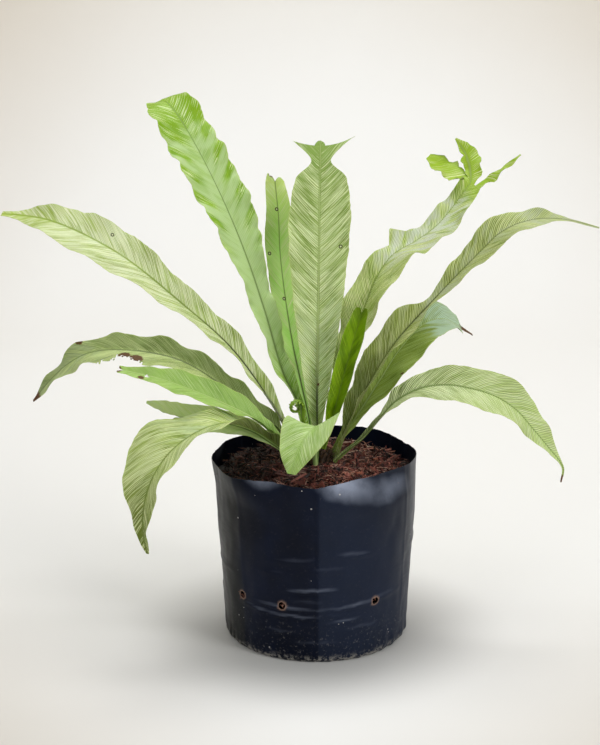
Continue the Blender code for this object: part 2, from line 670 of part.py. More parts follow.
def resting_drop(shape, centre, ground):
    """How far a shape falls before it is one gap above the ground, found by upright rays."""
    steps = 24
    spacing = HUSK_SIZE * 1.2 / steps
    nearest = BAG_HEIGHT * 2
    for row in range(-steps // 2, steps // 2 + 1):
        for column in range(-steps // 2, steps // 2 + 1):
            below = centre + Vector((row * spacing, column * spacing, -HUSK_SIZE * 2))
            underside = shape.ray_cast(below, Vector((0, 0, 1)))[0]
            if underside:
                nearest = min(nearest, ground.ray_cast(underside, Vector((0, 0, -1)))[3])
    return nearest - 1.5 * GAP


def main():
    clear_scene()
    make_bag()
    medium = make_medium()
    make_rhizome()
    for frond in FRONDS:
        make_frond(frond)
    make_crozier()
    make_husks(medium)


main()
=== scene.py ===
"""Looks of the variegated bird's nest fern in its black grow bag, built around the CAD frame.

Metres, +Z up, and -Y is the plant's front.  Angles are in degrees, counted from +X towards +Y.
A frond's own numbers are millimetres.  Colours are ordinary 0-255 screen colours.
"""

import random
from collections import namedtuple
from math import cos, exp, hypot, pi, radians, sin

import bpy
import numpy as np
from mathutils import Matrix, Vector, noise
from mathutils.geometry import interpolate_bezier

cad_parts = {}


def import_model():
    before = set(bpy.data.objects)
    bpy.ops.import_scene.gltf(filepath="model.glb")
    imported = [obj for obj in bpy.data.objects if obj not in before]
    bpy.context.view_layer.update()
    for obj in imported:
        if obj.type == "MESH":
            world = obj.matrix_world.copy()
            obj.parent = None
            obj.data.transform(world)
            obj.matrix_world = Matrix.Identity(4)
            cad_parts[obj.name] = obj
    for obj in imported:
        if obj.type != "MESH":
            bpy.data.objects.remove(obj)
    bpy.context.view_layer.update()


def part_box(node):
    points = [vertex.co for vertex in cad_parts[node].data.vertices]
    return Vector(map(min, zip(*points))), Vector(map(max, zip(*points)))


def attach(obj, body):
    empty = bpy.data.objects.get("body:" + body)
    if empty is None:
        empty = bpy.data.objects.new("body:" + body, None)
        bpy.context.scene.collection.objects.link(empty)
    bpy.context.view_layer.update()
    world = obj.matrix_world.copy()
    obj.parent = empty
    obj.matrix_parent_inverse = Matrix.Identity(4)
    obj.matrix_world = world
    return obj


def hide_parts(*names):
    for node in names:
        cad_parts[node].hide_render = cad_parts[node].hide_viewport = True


MM = 0.001

# ---------------------------------------------------------------- sizes shared with the CAD frame
BAG_TOP_RADIUS = 0.100
BAG_BASE_RADIUS = 0.090
BAG_HEIGHT = 0.181
BAG_HEEL = 0.006
BAG_TUCK = 0.0036
DRAIN_DIAMETER = 0.007
DRAIN_HEIGHT = 0.058
DRAIN_ANGLES = (-139, -110, -53, 53, 110, 139)
FILL_DROP = 0.017
FILL_MOUND = 0.009
FILL_BUMP = 0.0022
LUMP_TURNS = (190, 160)
CRUMB_TURNS = (420, 360)
CROWN_RADIUS = 0.0145
CROWN_RISE = 0.012
CROWN_SKIRT = 1.1
ROOT_RADIUS = 0.032
RIPPLE_WIDTH = 0.012
INNER_RING = 0.55
INNER_RISE = 0.002
OUTER_GAP = 0.0026
OUTER_RISE = 0.002
CURL_RADIUS = 0.0070
CURL_STEM = 0.0044
CURL_RISE = 0.056
CURL_REACH = 0.014
CURL_HEADING = 200
CURL_TURNS = 1.35
MOUTH = (
    (-177, 1.02, 0.000),
    (-158, 1.02, -0.001),
    (-138, 1.07, -0.002),
    (-114, 1.03, 0.001),
    (-90, 1.03, -0.002),
    (-66, 0.94, 0.001),
    (-44, 0.91, 0.002),
    (-20, 0.96, 0.001),
    (0, 0.98, 0.000),
    (28, 1.01, -0.003),
    (52, 1.00, 0.002),
    (78, 1.00, 0.000),
    (104, 0.97, 0.001),
    (134, 0.99, -0.002),
    (158, 0.99, 0.001),
)

# ---------------------------------------------------------------- sizes of the looks
FILM = 0.00035              # thickness of the bag's film
STATION = 1.6               # mm between a blade's cross rows
SIDE_COLUMNS = 13           # columns on each side of the midrib
LOBE_ROWS = 16
BLADE_HALF = 0.28           # mm, half the blade's thickness away from the midrib
RIDGE_HALF = 0.9            # mm, half width of the midrib's ridge on the upper side
KEEL_HALF = 1.3             # mm, half width of its keel on the underside
STALK_HALF = 4.0            # mm, half width of the fleshy stalk
STALK_SHARE = 0.16          # share of a frond's length that the stalk takes
RIM_POWER = 4               # how suddenly a blade thins at its margins
VEIN_BEND = 0.006           # how much more it runs forward towards the margin, per mm
PLEAT_WAVE = 7.0            # mm between the soft pleats along the veins
LINE_PITCH = 2.5            # mm between the fine lines along the veins
CURL_FRILL = 3.2            # mm, width of the margins on the coiled frond
CURL_RUFFLE = 1.3           # mm, how far they wave

Frond = namedtuple("Frond", "name heading foot path width skew roll fold ripple lobes")
Lobe = namedtuple("Lobe", "first last length aim turn droop belly tip")

INNER, OUTER = "inner", "outer"
FRONDS = (
    Frond("frond_rear_left_tall", 132, (INNER, 176, 0),
          ((28, 53), (50, 80), (78, 139), (111, 198), (153, 256), (200, 308), (232, 333), (250, 333)),
          ((0, 3), (0.1, 9), (0.2, 13), (0.35, 15), (0.46, 17.5), (0.56, 25), (0.75, 29), (0.91, 28),
           (0.96, 24), (1, 14)),
          ((0, 0), (0.15, 0.2), (0.35, 0.17), (0.46, 0.12), (0.56, 0), (0.8, 0.12), (0.95, 0.08),
           (1, -0.28)),
          ((0, 4), (0.5, 16), (1, 16)),
          ((0, 58), (0.35, 30), (0.7, 15), (1, 10)), (3, 62, 0.3), ()),
    Frond("frond_rear_torn", 108, (INNER, 122, 0),
          ((24, 36), (50, 66), (79, 101), (104, 143), (122, 186), (127, 222), (139, 256)),
          ((0, 3), (0.15, 9), (0.5, 15), (0.78, 16), (0.93, 12), (1, 10)),
          ((0, 0), (1, 0)), ((0, 0), (1, 5)), ((0, 55), (0.5, 22), (1, 8)),
          (1.5, 50, 0),
          (Lobe(0, 2, 10, 0, 10, 0, 0, 1.2), Lobe(2, 4, 5, 0, -10, 10, 0, 1.2))),
    Frond("frond_centre_tall", 88, (INNER, 82, 0),
          ((17, 58), (32, 110), (47, 155), (61, 200), (75, 243), (84, 270), (92, 297)),
          ((0, 3), (0.1, 10), (0.3, 19), (0.55, 27), (0.76, 31), (0.89, 25), (0.95, 9.8), (1, 31)),
          ((0, 0), (0.7, 0), (0.9, -0.08), (1, -0.12)), ((0, 0), (1, 0)),
          ((0, 60), (0.3, 26), (0.6, 9), (1, 5)),
          (1.8, 70, 1),
          (Lobe(1.5, 2.5, 5, 8, 0, 0, 0.6, 1.2),)),
    Frond("frond_rear_right_crested", 42, (INNER, 28, -1),
          ((27, 51), (44, 102), (66, 149), (80, 173), (101, 192), (135, 203), (168, 218), (212, 254)),
          ((0, 3), (0.12, 9), (0.3, 18), (0.5, 24), (0.66, 20), (0.86, 16), (1, 11)),
          ((0, 0), (0.4, -0.05), (0.62, -0.35), (1, -0.1)), ((0, 0), (0.5, -14), (1, -30)),
          ((0, 55), (0.4, 30), (1, 10)), (3.5, 48, 0),
          (Lobe(0, 2, 48, 84, 8, -10, 11, 5), Lobe(1.4, 3, 60, 14, 66, -8, 7, 1),
           Lobe(3.3, 4, 58, -20, 6, -6, 0.8, 0.8))),
    Frond("frond_young_upright", 20, (INNER, 340, -1),
          ((20, 60, -4), (28, 88, -3), (37, 116, -1), (46, 144)),
          ((0, 2.6), (0.15, 7), (0.45, 14), (0.8, 14), (1, 10)),
          ((0, 0), (1, 0)), ((0, -56), (1, -56)), ((0, 60), (0.5, 48), (1, 40)),
          (1.2, 40, 0),
          (Lobe(0, 2, 5, 0, -8, 0, 0, 1.5), Lobe(2, 4, 6, 0, 8, 0, 0, 1.5))),
    Frond("frond_right_long", 12, (OUTER, 8, 0),
          ((29, 29), (43, 58), (75, 111), (116, 156), (160, 200), (184, 221), (214, 231), (247, 230),
           (282, 221)),
          ((0, 2.6), (0.08, 6), (0.22, 18), (0.36, 19), (0.42, 15), (0.465, 7), (0.52, 9), (0.63, 17),
           (0.73, 18),
           (0.82, 12), (0.89, 5), (0.94, 2), (1, 1)),
          ((0, 0), (0.3, 0.05), (0.41, 0.2), (0.5, -0.1), (1, 0.1)), ((0, -10), (0.4, -28), (1, -34)),
          ((0, 55), (0.3, 36), (0.7, 20), (1, 14)), (2.4, 55, 0.5), ()),
    Frond("frond_right_behind", 32, (OUTER, 38, 0),
          ((31, 19), (52, 44), (74, 71), (97, 99), (126, 122), (150, 125), (170, 115), (188, 104)),
          ((0, 2.6), (0.12, 8), (0.35, 19), (0.6, 24), (0.82, 21), (0.9, 15), (0.925, 3), (1, 1.4)),
          ((0, -0.1), (0.5, -0.2), (1, 0)), ((0, -12), (0.6, -34), (1, -34)),
          ((0, 50), (0.4, 28), (1, 14)), (2, 45, 0), ()),
    Frond("frond_right_arching", -14, (OUTER, -24, 0),
          ((29, 12), (47, 28), (63, 48), (80, 67), (102, 80), (126, 85), (150, 83), (173, 77),
           (193, 65),
           (209, 48), (224, 31), (238, 13), (237, -2)),
          ((0, 2.6), (0.18, 4), (0.28, 9), (0.45, 20), (0.6, 23), (0.76, 15), (0.89, 5.5), (0.94, 1.6),
           (1, 0.8)),
          ((0, 0), (0.5, -0.1), (0.8, 0.15), (1, 0)), ((0, -20), (0.5, -42), (1, -45)),
          ((0, 45), (0.4, 25), (1, 12)), (2.5, 50, 0), ()),
    Frond("frond_left_long", 156, (OUTER, 138, 1),
          ((32, 29), (49, 54), (92, 104), (148, 145), (208, 184), (258, 206), (300, 218), (332, 221),
           (358, 221)),
          ((0, 2.6), (0.08, 6), (0.25, 14), (0.5, 20), (0.7, 27), (0.82, 23), (0.91, 12), (0.96, 6),
           (1, 3)),
          ((0, 0.1), (0.5, 0.1), (1, 0)), ((0, 10), (0.4, 30), (1, 40)),
          ((0, 58), (0.3, 40), (0.6, 20), (1, 10)), (3, 60, 0), ()),
    Frond("frond_left_dark", 174, (OUTER, 166, 0),
          ((32, 21.5), (47, 40), (87, 69.5), (128, 95), (162, 104), (199, 106), (224, 102), (246, 90),
           (264, 73),
           (282, 52)),
          ((0, 2.6), (0.1, 7), (0.3, 16), (0.55, 21), (0.75, 19), (0.87, 12), (1, 2)),
          ((0, 0), (0.5, 0.15), (1, 0.2)), ((0, 10), (0.5, 34), (1, 36)),
          ((0, 50), (0.4, 28), (1, 12)), (3, 42, 0.8), ()),
    Frond("frond_left_pale", 196, (OUTER, 210, 1),
          ((27, 15), (42, 30), (63, 48), (92, 65), (122, 80), (152, 93), (184, 103)),
          ((0, 2.6), (0.2, 8), (0.5, 21), (0.7, 19), (0.88, 11), (1, 5)),
          ((0, 0.1), (0.5, 0.15), (1, 0.1)), ((0, 8), (0.5, 32), (1, 38)),
          ((0, 50), (0.5, 30), (1, 20)),
          (1.2, 35, 0),
          (Lobe(0, 2, 9, 0, 12, 8, 0, 1.2), Lobe(2, 4, 7, 0, -8, -4, 0, 1.2))),
    Frond("frond_left_forked", 183, (OUTER, 186, -0.5),
          ((29, 7), (43, 17), (62, 30), (84, 38), (108, 43), (130, 46)),
          ((0, 2.6), (0.2, 6), (0.5, 11), (0.8, 14), (1, 13)),
          ((0, 0), (1, 0)), ((0, 12), (0.5, 50), (1, 66)), ((0, 50), (0.5, 30), (1, 18)),
          (1, 30, 0),
          (Lobe(0, 2, 22, 14, 16, 0, 1, 1.2), Lobe(2, 4, 36, -4, -4, -6, 1, 1.2))),
    Frond("frond_front_left_drooping", 214, (OUTER, 237, 0),
          ((28, 11), (48, 27), (69, 42), (94, 53), (118, 54), (140, 48), (160, 37), (175, 22), (185, 4),
           (190, -15), (191, -36), (187, -57)),
          ((0, 2.6), (0.15, 8), (0.35, 18), (0.52, 27), (0.66, 31), (0.8, 21), (0.92, 9), (1, 1.6)),
          ((0, 0), (0.42, 0.2), (0.62, -0.3), (0.8, -0.15), (1, 0)), ((0, 0), (1, 12)),
          ((0, 50), (0.35, 28), (1, 12)),
          (2.5, 50, 0.4), ()),
    Frond("frond_front_short", 268, (OUTER, 268, 0),
          ((24, 18), (28, 33), (38, 45), (49, 49, 1), (60, 45, -6), (68, 36, -12), (75, 25, -17),
           (80, 12, -20)),
          ((0, 2.6), (0.2, 6), (0.42, 24), (0.6, 27), (0.8, 19), (0.93, 10), (1, 4.5)),
          ((0, 0), (1, 0)), ((0, 0), (1, -15)), ((0, 45), (0.4, 24), (1, 14)),
          (1.2, 30, 0), ()),
)

# ---------------------------------------------------------------- how each frond looks
# slot: the record's material slot.  deep, light: the two greens.  tip: colour that the far end turns to.
# cream: colour of the stripes.  cover: (share of length, amount) of stripes.
# fine: strength of the hair lines.
# painted sheen: (share, amount) of a pale glare painted where the blade faces the light, and its colour.
# tips: (share, amount) of the tip colour.
# rib: (share, darkness) of the midrib, and its pale colour.  rings: (share, reach) of ring spots.
# bites: (share, reach, radius in mm) eaten out.  worn: (share, reach, radius in mm) gone brown.
Look = namedtuple("Look", (
    "slot deep light tip cream cover fine bloom bloom_colour tips rib rib_pale rings bites worn"))

RIB_DARK = (52, 50, 44)
MARGIN_PALE = (190, 206, 120)
RING_DARK = (58, 62, 18)
RING_PALE = (220, 226, 178)
BROWN_DARK = (46, 26, 14)
BROWN_PALE = (122, 82, 44)
# Colours of the painted sheen, a pale glare painted where a blade faces the light.
PAINTED_SHEEN_GREEN = (186, 208, 162)
PAINTED_SHEEN_GREY = (206, 213, 190)
LOOKS = {
    "frond_rear_left_tall": Look(
        "green_blade", (104, 148, 6), (140, 178, 44), (132, 170, 0), (214, 230, 168),
        ((0, 0.20), (0.3, 0.05), (0.6, 0.0), (1, 0.0)), 0.15,
        ((0, 0.3), (0.15, 0.6), (0.3, 1), (0.6, 1), (0.8, 0.85), (0.9, 0.4), (1, 0.0)), (178, 203, 138),
        ((0, 0.1), (0.6, 0.1), (0.85, 0.5), (1, 1)), ((0, 0.8), (0.15, 0.5), (1, 0.3)), (140, 172, 84),
        (), (), ()),
    # Its greens are painted far brighter than the frond's own, as painted light against the shade that the
    # fronds beside it cast.
    "frond_rear_torn": Look(
        "dark_blade", (182, 238, 116), (200, 244, 140), (206, 230, 128), (222, 240, 172),
        ((0, 0.4), (0.4, 0.28), (0.7, 0.15), (1, 0.1)), 0.3,
        ((0, 0), (1, 0)), PAINTED_SHEEN_GREEN, ((0, 0), (0.8, 0.1), (1, 1)), ((0, 0.7), (1, 0.3)),
        (150, 180, 95),
        ((0.57, 0.1), (0.74, 0.75), (0.9, 0.1)), ((1.042, -0.45, 5.5), (1.052, 0.35, 3.5)),
        ((1.04, -0.4, 8), (1.05, 0.4, 5))),
    "frond_centre_tall": Look(
        "variegated_blade", (128, 152, 66), (172, 194, 114), (152, 182, 92), (220, 234, 176),
        ((0, 0.30), (0.25, 0.45), (0.5, 0.52), (0.8, 0.50), (0.92, 0.25), (1, 0)), 0.5,
        ((0, 0), (0.2, 0.35), (0.45, 0.3), (0.6, 0), (1, 0)), (188, 206, 156),
        ((0, 0), (0.85, 0.2), (1, 1)), ((0, 1), (0.16, 0.85), (0.26, 0.2), (1, 0)), (180, 200, 126),
        ((0.66, -0.72),), (), ((0.20, -0.1, 2.0),)),
    "frond_rear_right_crested": Look(
        "variegated_blade", (116, 142, 36), (160, 184, 76), (152, 182, 46), (216, 226, 160),
        ((0, 0.35), (0.3, 0.5), (0.5, 0.45), (0.8, 0.5), (1, 0.05)), 0.9,
        ((0, 0), (0.5, 0.0), (0.62, 0.6), (0.8, 0.75), (0.93, 0.45), (1, 0)), PAINTED_SHEEN_GREY,
        ((0, 0), (0.93, 0), (1, 1)), ((0, 0.6), (0.3, 0.35), (1, 0.15)), (148, 172, 78),
        (), (), ()),
    "frond_young_upright": Look(
        "young_growth", (92, 126, 0), (132, 172, 2), (84, 112, 4), (140, 170, 30),
        ((0, 0), (1, 0)), 0.1, ((0, 0), (1, 0)), PAINTED_SHEEN_GREEN,
        ((0, 0), (0.9, 0), (1, 0.6)), ((0, 0.3), (1, 0.1)), (120, 155, 20), (), (), ()),
    "frond_right_long": Look(
        "variegated_blade", (110, 126, 24), (150, 166, 70), (196, 208, 150), (206, 216, 150),
        ((0, 0.4), (0.3, 0.42), (0.6, 0.5), (0.9, 0.5), (1, 0.4)), 0.95,
        ((0, 0), (0.38, 0.1), (0.46, 0.6), (0.6, 0.4), (0.75, 0.4), (0.85, 0.6), (1, 0.5)),
        (194, 203, 164),
        ((0, 0), (0.7, 0.05), (0.85, 0.6), (1, 0.8)),
        ((0, 1), (0.1, 0.6), (0.3, 0.3), (0.42, 0.8), (0.6, 0.5), (1, 0.5)), (140, 156, 84),
        (), (), ()),
    "frond_right_behind": Look(
        "dark_blade", (112, 134, 28), (154, 176, 66), (150, 178, 130), (188, 208, 118),
        ((0, 0.4), (0.3, 0.35), (0.7, 0.2), (1, 0)), 0.6,
        ((0, 0), (0.62, 0), (0.76, 0.9), (0.9, 1), (1, 0.1)), (188, 213, 184),
        ((0, 0), (0.9, 0.1), (1, 0.2)), ((0, 0.5), (0.1, 0.15), (1, 0)), (176, 198, 122),
        (), (), ((0.45, -0.9, 2.5), (1.0, 0, 24))),
    "frond_right_arching": Look(
        "variegated_blade", (92, 108, 46), (140, 158, 88), (204, 228, 138), (220, 234, 176),
        ((0, 0.1), (0.3, 0.4), (0.6, 0.6), (0.85, 0.4), (1, 0.1)), 0.8,
        ((0, 0), (0.3, 0.15), (0.5, 0.1), (0.9, 0.3), (1, 0.1)), (208, 222, 172),
        ((0, 0), (0.4, 0.05), (0.6, 0.6), (0.9, 0.8), (1, 0.6)),
        ((0, 0.7), (0.3, 0.35), (0.7, 0.15), (1, 0.1)),
        (128, 156, 74),
        (), (), ((1.0, 0, 10),)),
    "frond_left_long": Look(
        "variegated_blade", (132, 154, 54), (178, 198, 108), (184, 206, 96), (232, 240, 196),
        ((0, 0.35), (0.25, 0.5), (0.5, 0.62), (0.75, 0.68), (0.9, 0.5), (1, 0.2)), 0.5,
        ((0, 0), (0.5, 0.1), (0.7, 0.25), (1, 0)), (214, 224, 192),
        ((0, 0), (0.8, 0.2), (1, 1)), ((0, 1), (0.3, 0.95), (0.42, 0.4), (0.6, 0.12), (1, 0.05)),
        (140, 170, 60),
        ((0.70, -0.55),), (), ()),
    "frond_left_dark": Look(
        "dark_blade", (94, 116, 32), (154, 176, 92), (176, 188, 142), (208, 222, 152),
        ((0, 0.25), (0.3, 0.42), (0.55, 0.5), (0.8, 0.42), (1, 0.2)), 0.7,
        ((0, 0), (0.6, 0.05), (0.8, 0.35), (1, 0.2)), (176, 190, 150),
        ((0, 0), (0.7, 0.1), (1, 0.6)), ((0, 0.7), (0.4, 0.5), (1, 0.3)), (130, 150, 86),
        (), ((0.60, 1.1, 9), (0.645, 0.95, 11), (0.69, 1.15, 10)),
        ((0.60, 0.62, 9), (0.64, 0.45, 8), (0.78, -1.0, 4), (1.0, 0, 14))),
    "frond_left_pale": Look(
        "green_blade", (120, 156, 62), (152, 186, 92), (160, 192, 98), (184, 208, 136),
        ((0, 0.1), (0.4, 0.12), (0.8, 0.2), (1, 0.1)), 0.2,
        ((0, 0), (1, 0)), PAINTED_SHEEN_GREEN,
        ((0, 0), (1, 0.5)), ((0, 0.1), (1, 0)), (182, 206, 132),
        (), ((0.90, 0.1, 2.2),), ((0.93, 0.6, 4), (1.04, 0, 4))),
    # Its greens are painted far brighter than the frond's own, as painted light against the shade of the
    # fronds above and in front of it.
    "frond_left_forked": Look(
        "green_blade", (196, 230, 130), (222, 244, 164), (214, 234, 160), (222, 240, 180),
        ((0, 0.1), (0.5, 0.25), (1, 0.15)), 0.3,
        ((0, 0), (0.6, 0.1), (1, 0.2)), PAINTED_SHEEN_GREEN, ((0, 0), (1, 0.5)), ((0, 0.4), (1, 0.2)),
        (156, 178, 110),
        (), (), ()),
    "frond_front_left_drooping": Look(
        "variegated_blade", (122, 146, 40), (174, 196, 94), (100, 116, 30), (222, 234, 172),
        ((0, 0.2), (0.3, 0.45), (0.55, 0.62), (0.8, 0.5), (1, 0.3)), 0.6,
        ((0, 0), (0.3, 0.3), (0.5, 0.4), (0.66, 0.1), (0.85, 0), (1, 0)), (194, 212, 162),
        ((0, 0), (0.72, 0), (0.9, 0.8), (1, 1)), ((0, 0.7), (0.4, 0.25), (1, 0.3)), (144, 168, 84),
        (), (), ()),
    "frond_front_short": Look(
        "green_blade", (136, 170, 78), (172, 202, 116), (168, 204, 104), (206, 226, 164),
        ((0, 0), (0.3, 0.25), (0.7, 0.3), (1, 0)), 0.25,
        ((0, 0), (0.35, 0.4), (0.55, 0.25), (1, 0.1)), (192, 212, 160),
        ((0, 0), (0.8, 0.3), (1, 0.9)), ((0, 0.6), (0.25, 0.1), (1, 0)), (170, 198, 120),
        (), (), ()),
}

# ---------------------------------------------------------------- what only some fronds have
# Depth in mm of a blade's uneven margins.
FRILL = 1.9
FRILLS = {
    "frond_rear_left_tall": 3.8,
    "frond_right_arching": 2.8,
    "frond_rear_right_crested": 2.6,
    "frond_right_long": 2.2,
    "frond_left_long": 2.0,
}
# Strength of the uneven margins on the lobes of a tip.
LOBE_FRILL = 0.25
LOBE_FRILLS = {"frond_rear_right_crested": 1.5, "frond_left_forked": 0.5}
# How far a vein runs forward for each step outward.
VEIN_LEAN = 1.25
LEANS = {
    "frond_rear_left_tall": 0.8,
    "frond_centre_tall": 0.84,
    "frond_left_dark": 1.7,
    "frond_left_long": 1.45,
}
# Height in mm of the soft pleats along the veins.
PLEAT = 0.22
PLEATS = {"frond_front_short": 0.42, "frond_left_pale": 0.12, "frond_young_upright": 0.1}
# How patchy the painted sheen is.
PATCH = 0.5
PATCHES = {"frond_rear_left_tall": 0.25}
# How much of the painted sheen is missing in bands towards the margins, and the mm between those bands.
FLUSHES = {"frond_rear_left_tall": 0.95, "frond_rear_right_crested": 0.4}
FLUSH_PITCH = 27
# The half of a blade painted darker as shade, where it faces away from the light: (side, amount), where
# side is 1 for its left half and -1 for its right.
PAINTED_SHADE_HALVES = {
    "frond_left_dark": (-1, 0.6),
    "frond_young_upright": (-1, 0.45),
    "frond_front_short": (-1, 0.15),
}
# How bright an underside is beside its upper side; frond_left_forked's is raised as painted light against
# the shade of the fronds above and in front of it.
BACK = 0.64
BACKS = {"frond_left_forked": 1.0, "frond_left_pale": 0.8}
# Bulges of the margins: (mm between them, their share of the half width).
SCALLOPS = {"frond_rear_left_tall": (27, 0.11)}
# A pointed ear on the left margin: (share of the length, mm, half its span as a share).
EARS = {"frond_rear_right_crested": (0.675, 14, 0.035)}
# How many mm the left and the right corner of a tip run ahead of its middle.
HORNS = {"frond_centre_tall": (5, 9), "frond_rear_left_tall": (5, -8)}


# ---------------------------------------------------------------- general helpers
def linear(colour):
    """A 0-255 screen colour as linear light."""
    made = []
    for part in colour:
        part = part / 255
        made.append(part / 12.92 if part <= 0.04045 else ((part + 0.055) / 1.055) ** 2.4)
    return (*made, 1.0)


def dimmed(colour, share):
    """A screen colour with only a share of its brightness."""
    return [part * share for part in colour]


def polar(radius, angle, height=0.0):
    """The point at a radius and an angle from the plant's middle."""
    return Vector((radius * cos(radians(angle)), radius * sin(radians(angle)), height))


def between(low, high, share):
    """The value at a share of the way from low to high."""
    return low + (high - low) * share


def smooth(low, high, value):
    """0 below low, 1 above high, and a soft step in between."""
    share = min(max((value - low) / (high - low), 0), 1)
    return share * share * (3 - 2 * share)


def knot_slope(knots, index):
    """Slope at a knot, level at a peak or a waist so that the curve never overshoots."""
    if index in (0, len(knots) - 1):
        near = knots[1] if index == 0 else knots[-2]
        return (knots[index][1] - near[1]) / (knots[index][0] - near[0])
    (before, low), (here, middle), (after, high) = knots[index - 1:index + 2]
    if (middle - low) * (high - middle) <= 0:
        return 0.0
    first = (middle - low) / (here - before)
    second = (high - middle) / (after - here)
    return 2 * first * second / (first + second)


def knots_at(knots, share):
    """Value at a share of the length, on a smooth curve through (share, value) knots."""
    for index, ((start, low), (end, high)) in enumerate(zip(knots, knots[1:])):
        if share <= end:
            span = end - start
            step = (share - start) / span
            leave = knot_slope(knots, index) * span
            arrive = knot_slope(knots, index + 1) * span
            ease = step * step * (3 - 2 * step)
            bend = step * (1 - step) * (leave * (1 - step) - arrive * step)
            return between(low, high, ease) + bend
    return knots[-1][1]


def drift(*place):
    """Smooth noise from -1 to 1 at up to three coordinates."""
    return noise.noise(Vector((*place, 0, 0)[:3]))


# ---------------------------------------------------------------- meshes
MAP_SIZE = (0.96, 0.46)     # of each side of a blade on its map
MAP_UPPER = (0.02, 0.02)
MAP_UNDER = (0.02, 0.52)
MAP_RIM = 0.006


def add_object(name, points, faces, material, smooth_angle, fields, node=None, uv=None):
    """A smooth-shaded piece on the root body, in the place of a CAD node if one is named."""
    mesh = bpy.data.meshes.new(name)
    mesh.from_pydata([tuple(point) for point in points], [], faces)
    mesh.update()
    for field, values in fields.items():
        layer = mesh.attributes.new(field, "FLOAT", "POINT")
        layer.data.foreach_set("value", np.asarray(values, np.float32))
    if uv is not None:
        layer = mesh.uv_layers.new(name="OFBake")
        layer.data.foreach_set("uv", np.asarray(uv, np.float32).ravel())
    mesh.materials.append(material)
    mesh.shade_smooth()
    mesh.set_sharp_from_angle(angle=radians(smooth_angle))
    item = bpy.data.objects.new(name, mesh)
    bpy.context.scene.collection.objects.link(item)
    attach(item, "root")
    if node:
        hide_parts(node)


def ring_faces(rings, around, capped=True):
    """Quads between rings of as many points each, and a face over each end."""
    faces = []
    for ring in range(rings - 1):
        for step in range(around):
            here = ring * around + step
            after = ring * around + (step + 1) % around
            faces.append((here, after, after + around, here + around))
    if capped:
        faces.append(tuple(reversed(range(around))))
        faces.append(tuple(range((rings - 1) * around, rings * around)))
    return faces


def join(points, faces, shape, sides):
    """Adds one more small piece to a mesh's points and faces."""
    start = len(points)
    points.extend(shape)
    faces.extend(tuple(start + corner for corner in side) for side in sides)


def grid_normals(points, faces):
    """Area-weighted normal of each point of a mesh of quads."""
    corners = points[faces]
    normal = np.cross(corners[:, 2] - corners[:, 0], corners[:, 3] - corners[:, 1])
    total = np.zeros_like(points)
    for corner in range(4):
        np.add.at(total, faces[:, corner], normal)
    size = np.linalg.norm(total, axis=1, keepdims=True)
    return total / np.maximum(size, 1e-12)


def open_edges(faces):
    """The directed edges that only one quad has."""
    edges = np.concatenate([faces[:, [0, 1]], faces[:, [1, 2]], faces[:, [2, 3]], faces[:, [3, 0]]])
    key = np.sort(edges, axis=1)
    _, index, count = np.unique(key, axis=0, return_inverse=True, return_counts=True)
    return edges[count[index.reshape(-1)] == 1]


def compact(faces):
    """The points that the quads use, and the quads counted in those."""
    used, faces = np.unique(np.asarray(faces, int), return_inverse=True)
    return used, faces.reshape(-1, 4)


def thicken(points, faces, above, below, fields):
    """A closed sheet around a mesh of quads: its points, its faces and its fields.

    above and below are the distances from the middle to each side.  The faces are
    the upper side's, then the underside's, then the rim's.
    """
    used, faces = compact(faces)
    points = np.asarray(points, float)[used]
    above, below = above[used], below[used]
    count = len(points)
    normals = grid_normals(points, faces)
    solid = np.concatenate([points + normals * above[:, None], points - normals * below[:, None]])
    edges = open_edges(faces)
    rim = np.stack([edges[:, 1], edges[:, 0], edges[:, 0] + count, edges[:, 1] + count], 1)
    every = np.concatenate([faces, faces[:, ::-1] + count, rim])
    doubled = {name: np.tile(np.asarray(values)[used], 2) for name, values in fields.items()}
    doubled["under"] = np.repeat([0.0, 1.0], count)
    return solid, every.tolist(), doubled


def sheet_map(faces, places):
    """A map of a thickened sheet's faces, from its middle points' places on a unit square.

    The upper side fills the map's lower half, the underside its upper half, and the
    rim a thin band beside the upper side.
    """
    used, faces = compact(faces)
    upper = places[used] * MAP_SIZE + MAP_UPPER
    under = places[used] * MAP_SIZE + MAP_UNDER
    edges = open_edges(faces)
    run = upper[edges[:, 1]] - upper[edges[:, 0]]
    away = np.stack([run[:, 1], -run[:, 0]], 1)
    away /= np.maximum(np.linalg.norm(away, axis=1, keepdims=True), 1e-12)
    first = upper[faces[0]]
    turn = np.cross(first[1] - first[0], first[2] - first[0])
    away *= MAP_RIM * (1 if turn > 0 else -1)
    side = np.stack([upper[edges[:, 1]], upper[edges[:, 0]], upper[edges[:, 0]] + away,
                     upper[edges[:, 1]] + away], 1)
    return np.concatenate([upper[faces], under[faces[:, ::-1]], side]).reshape(-1, 2)


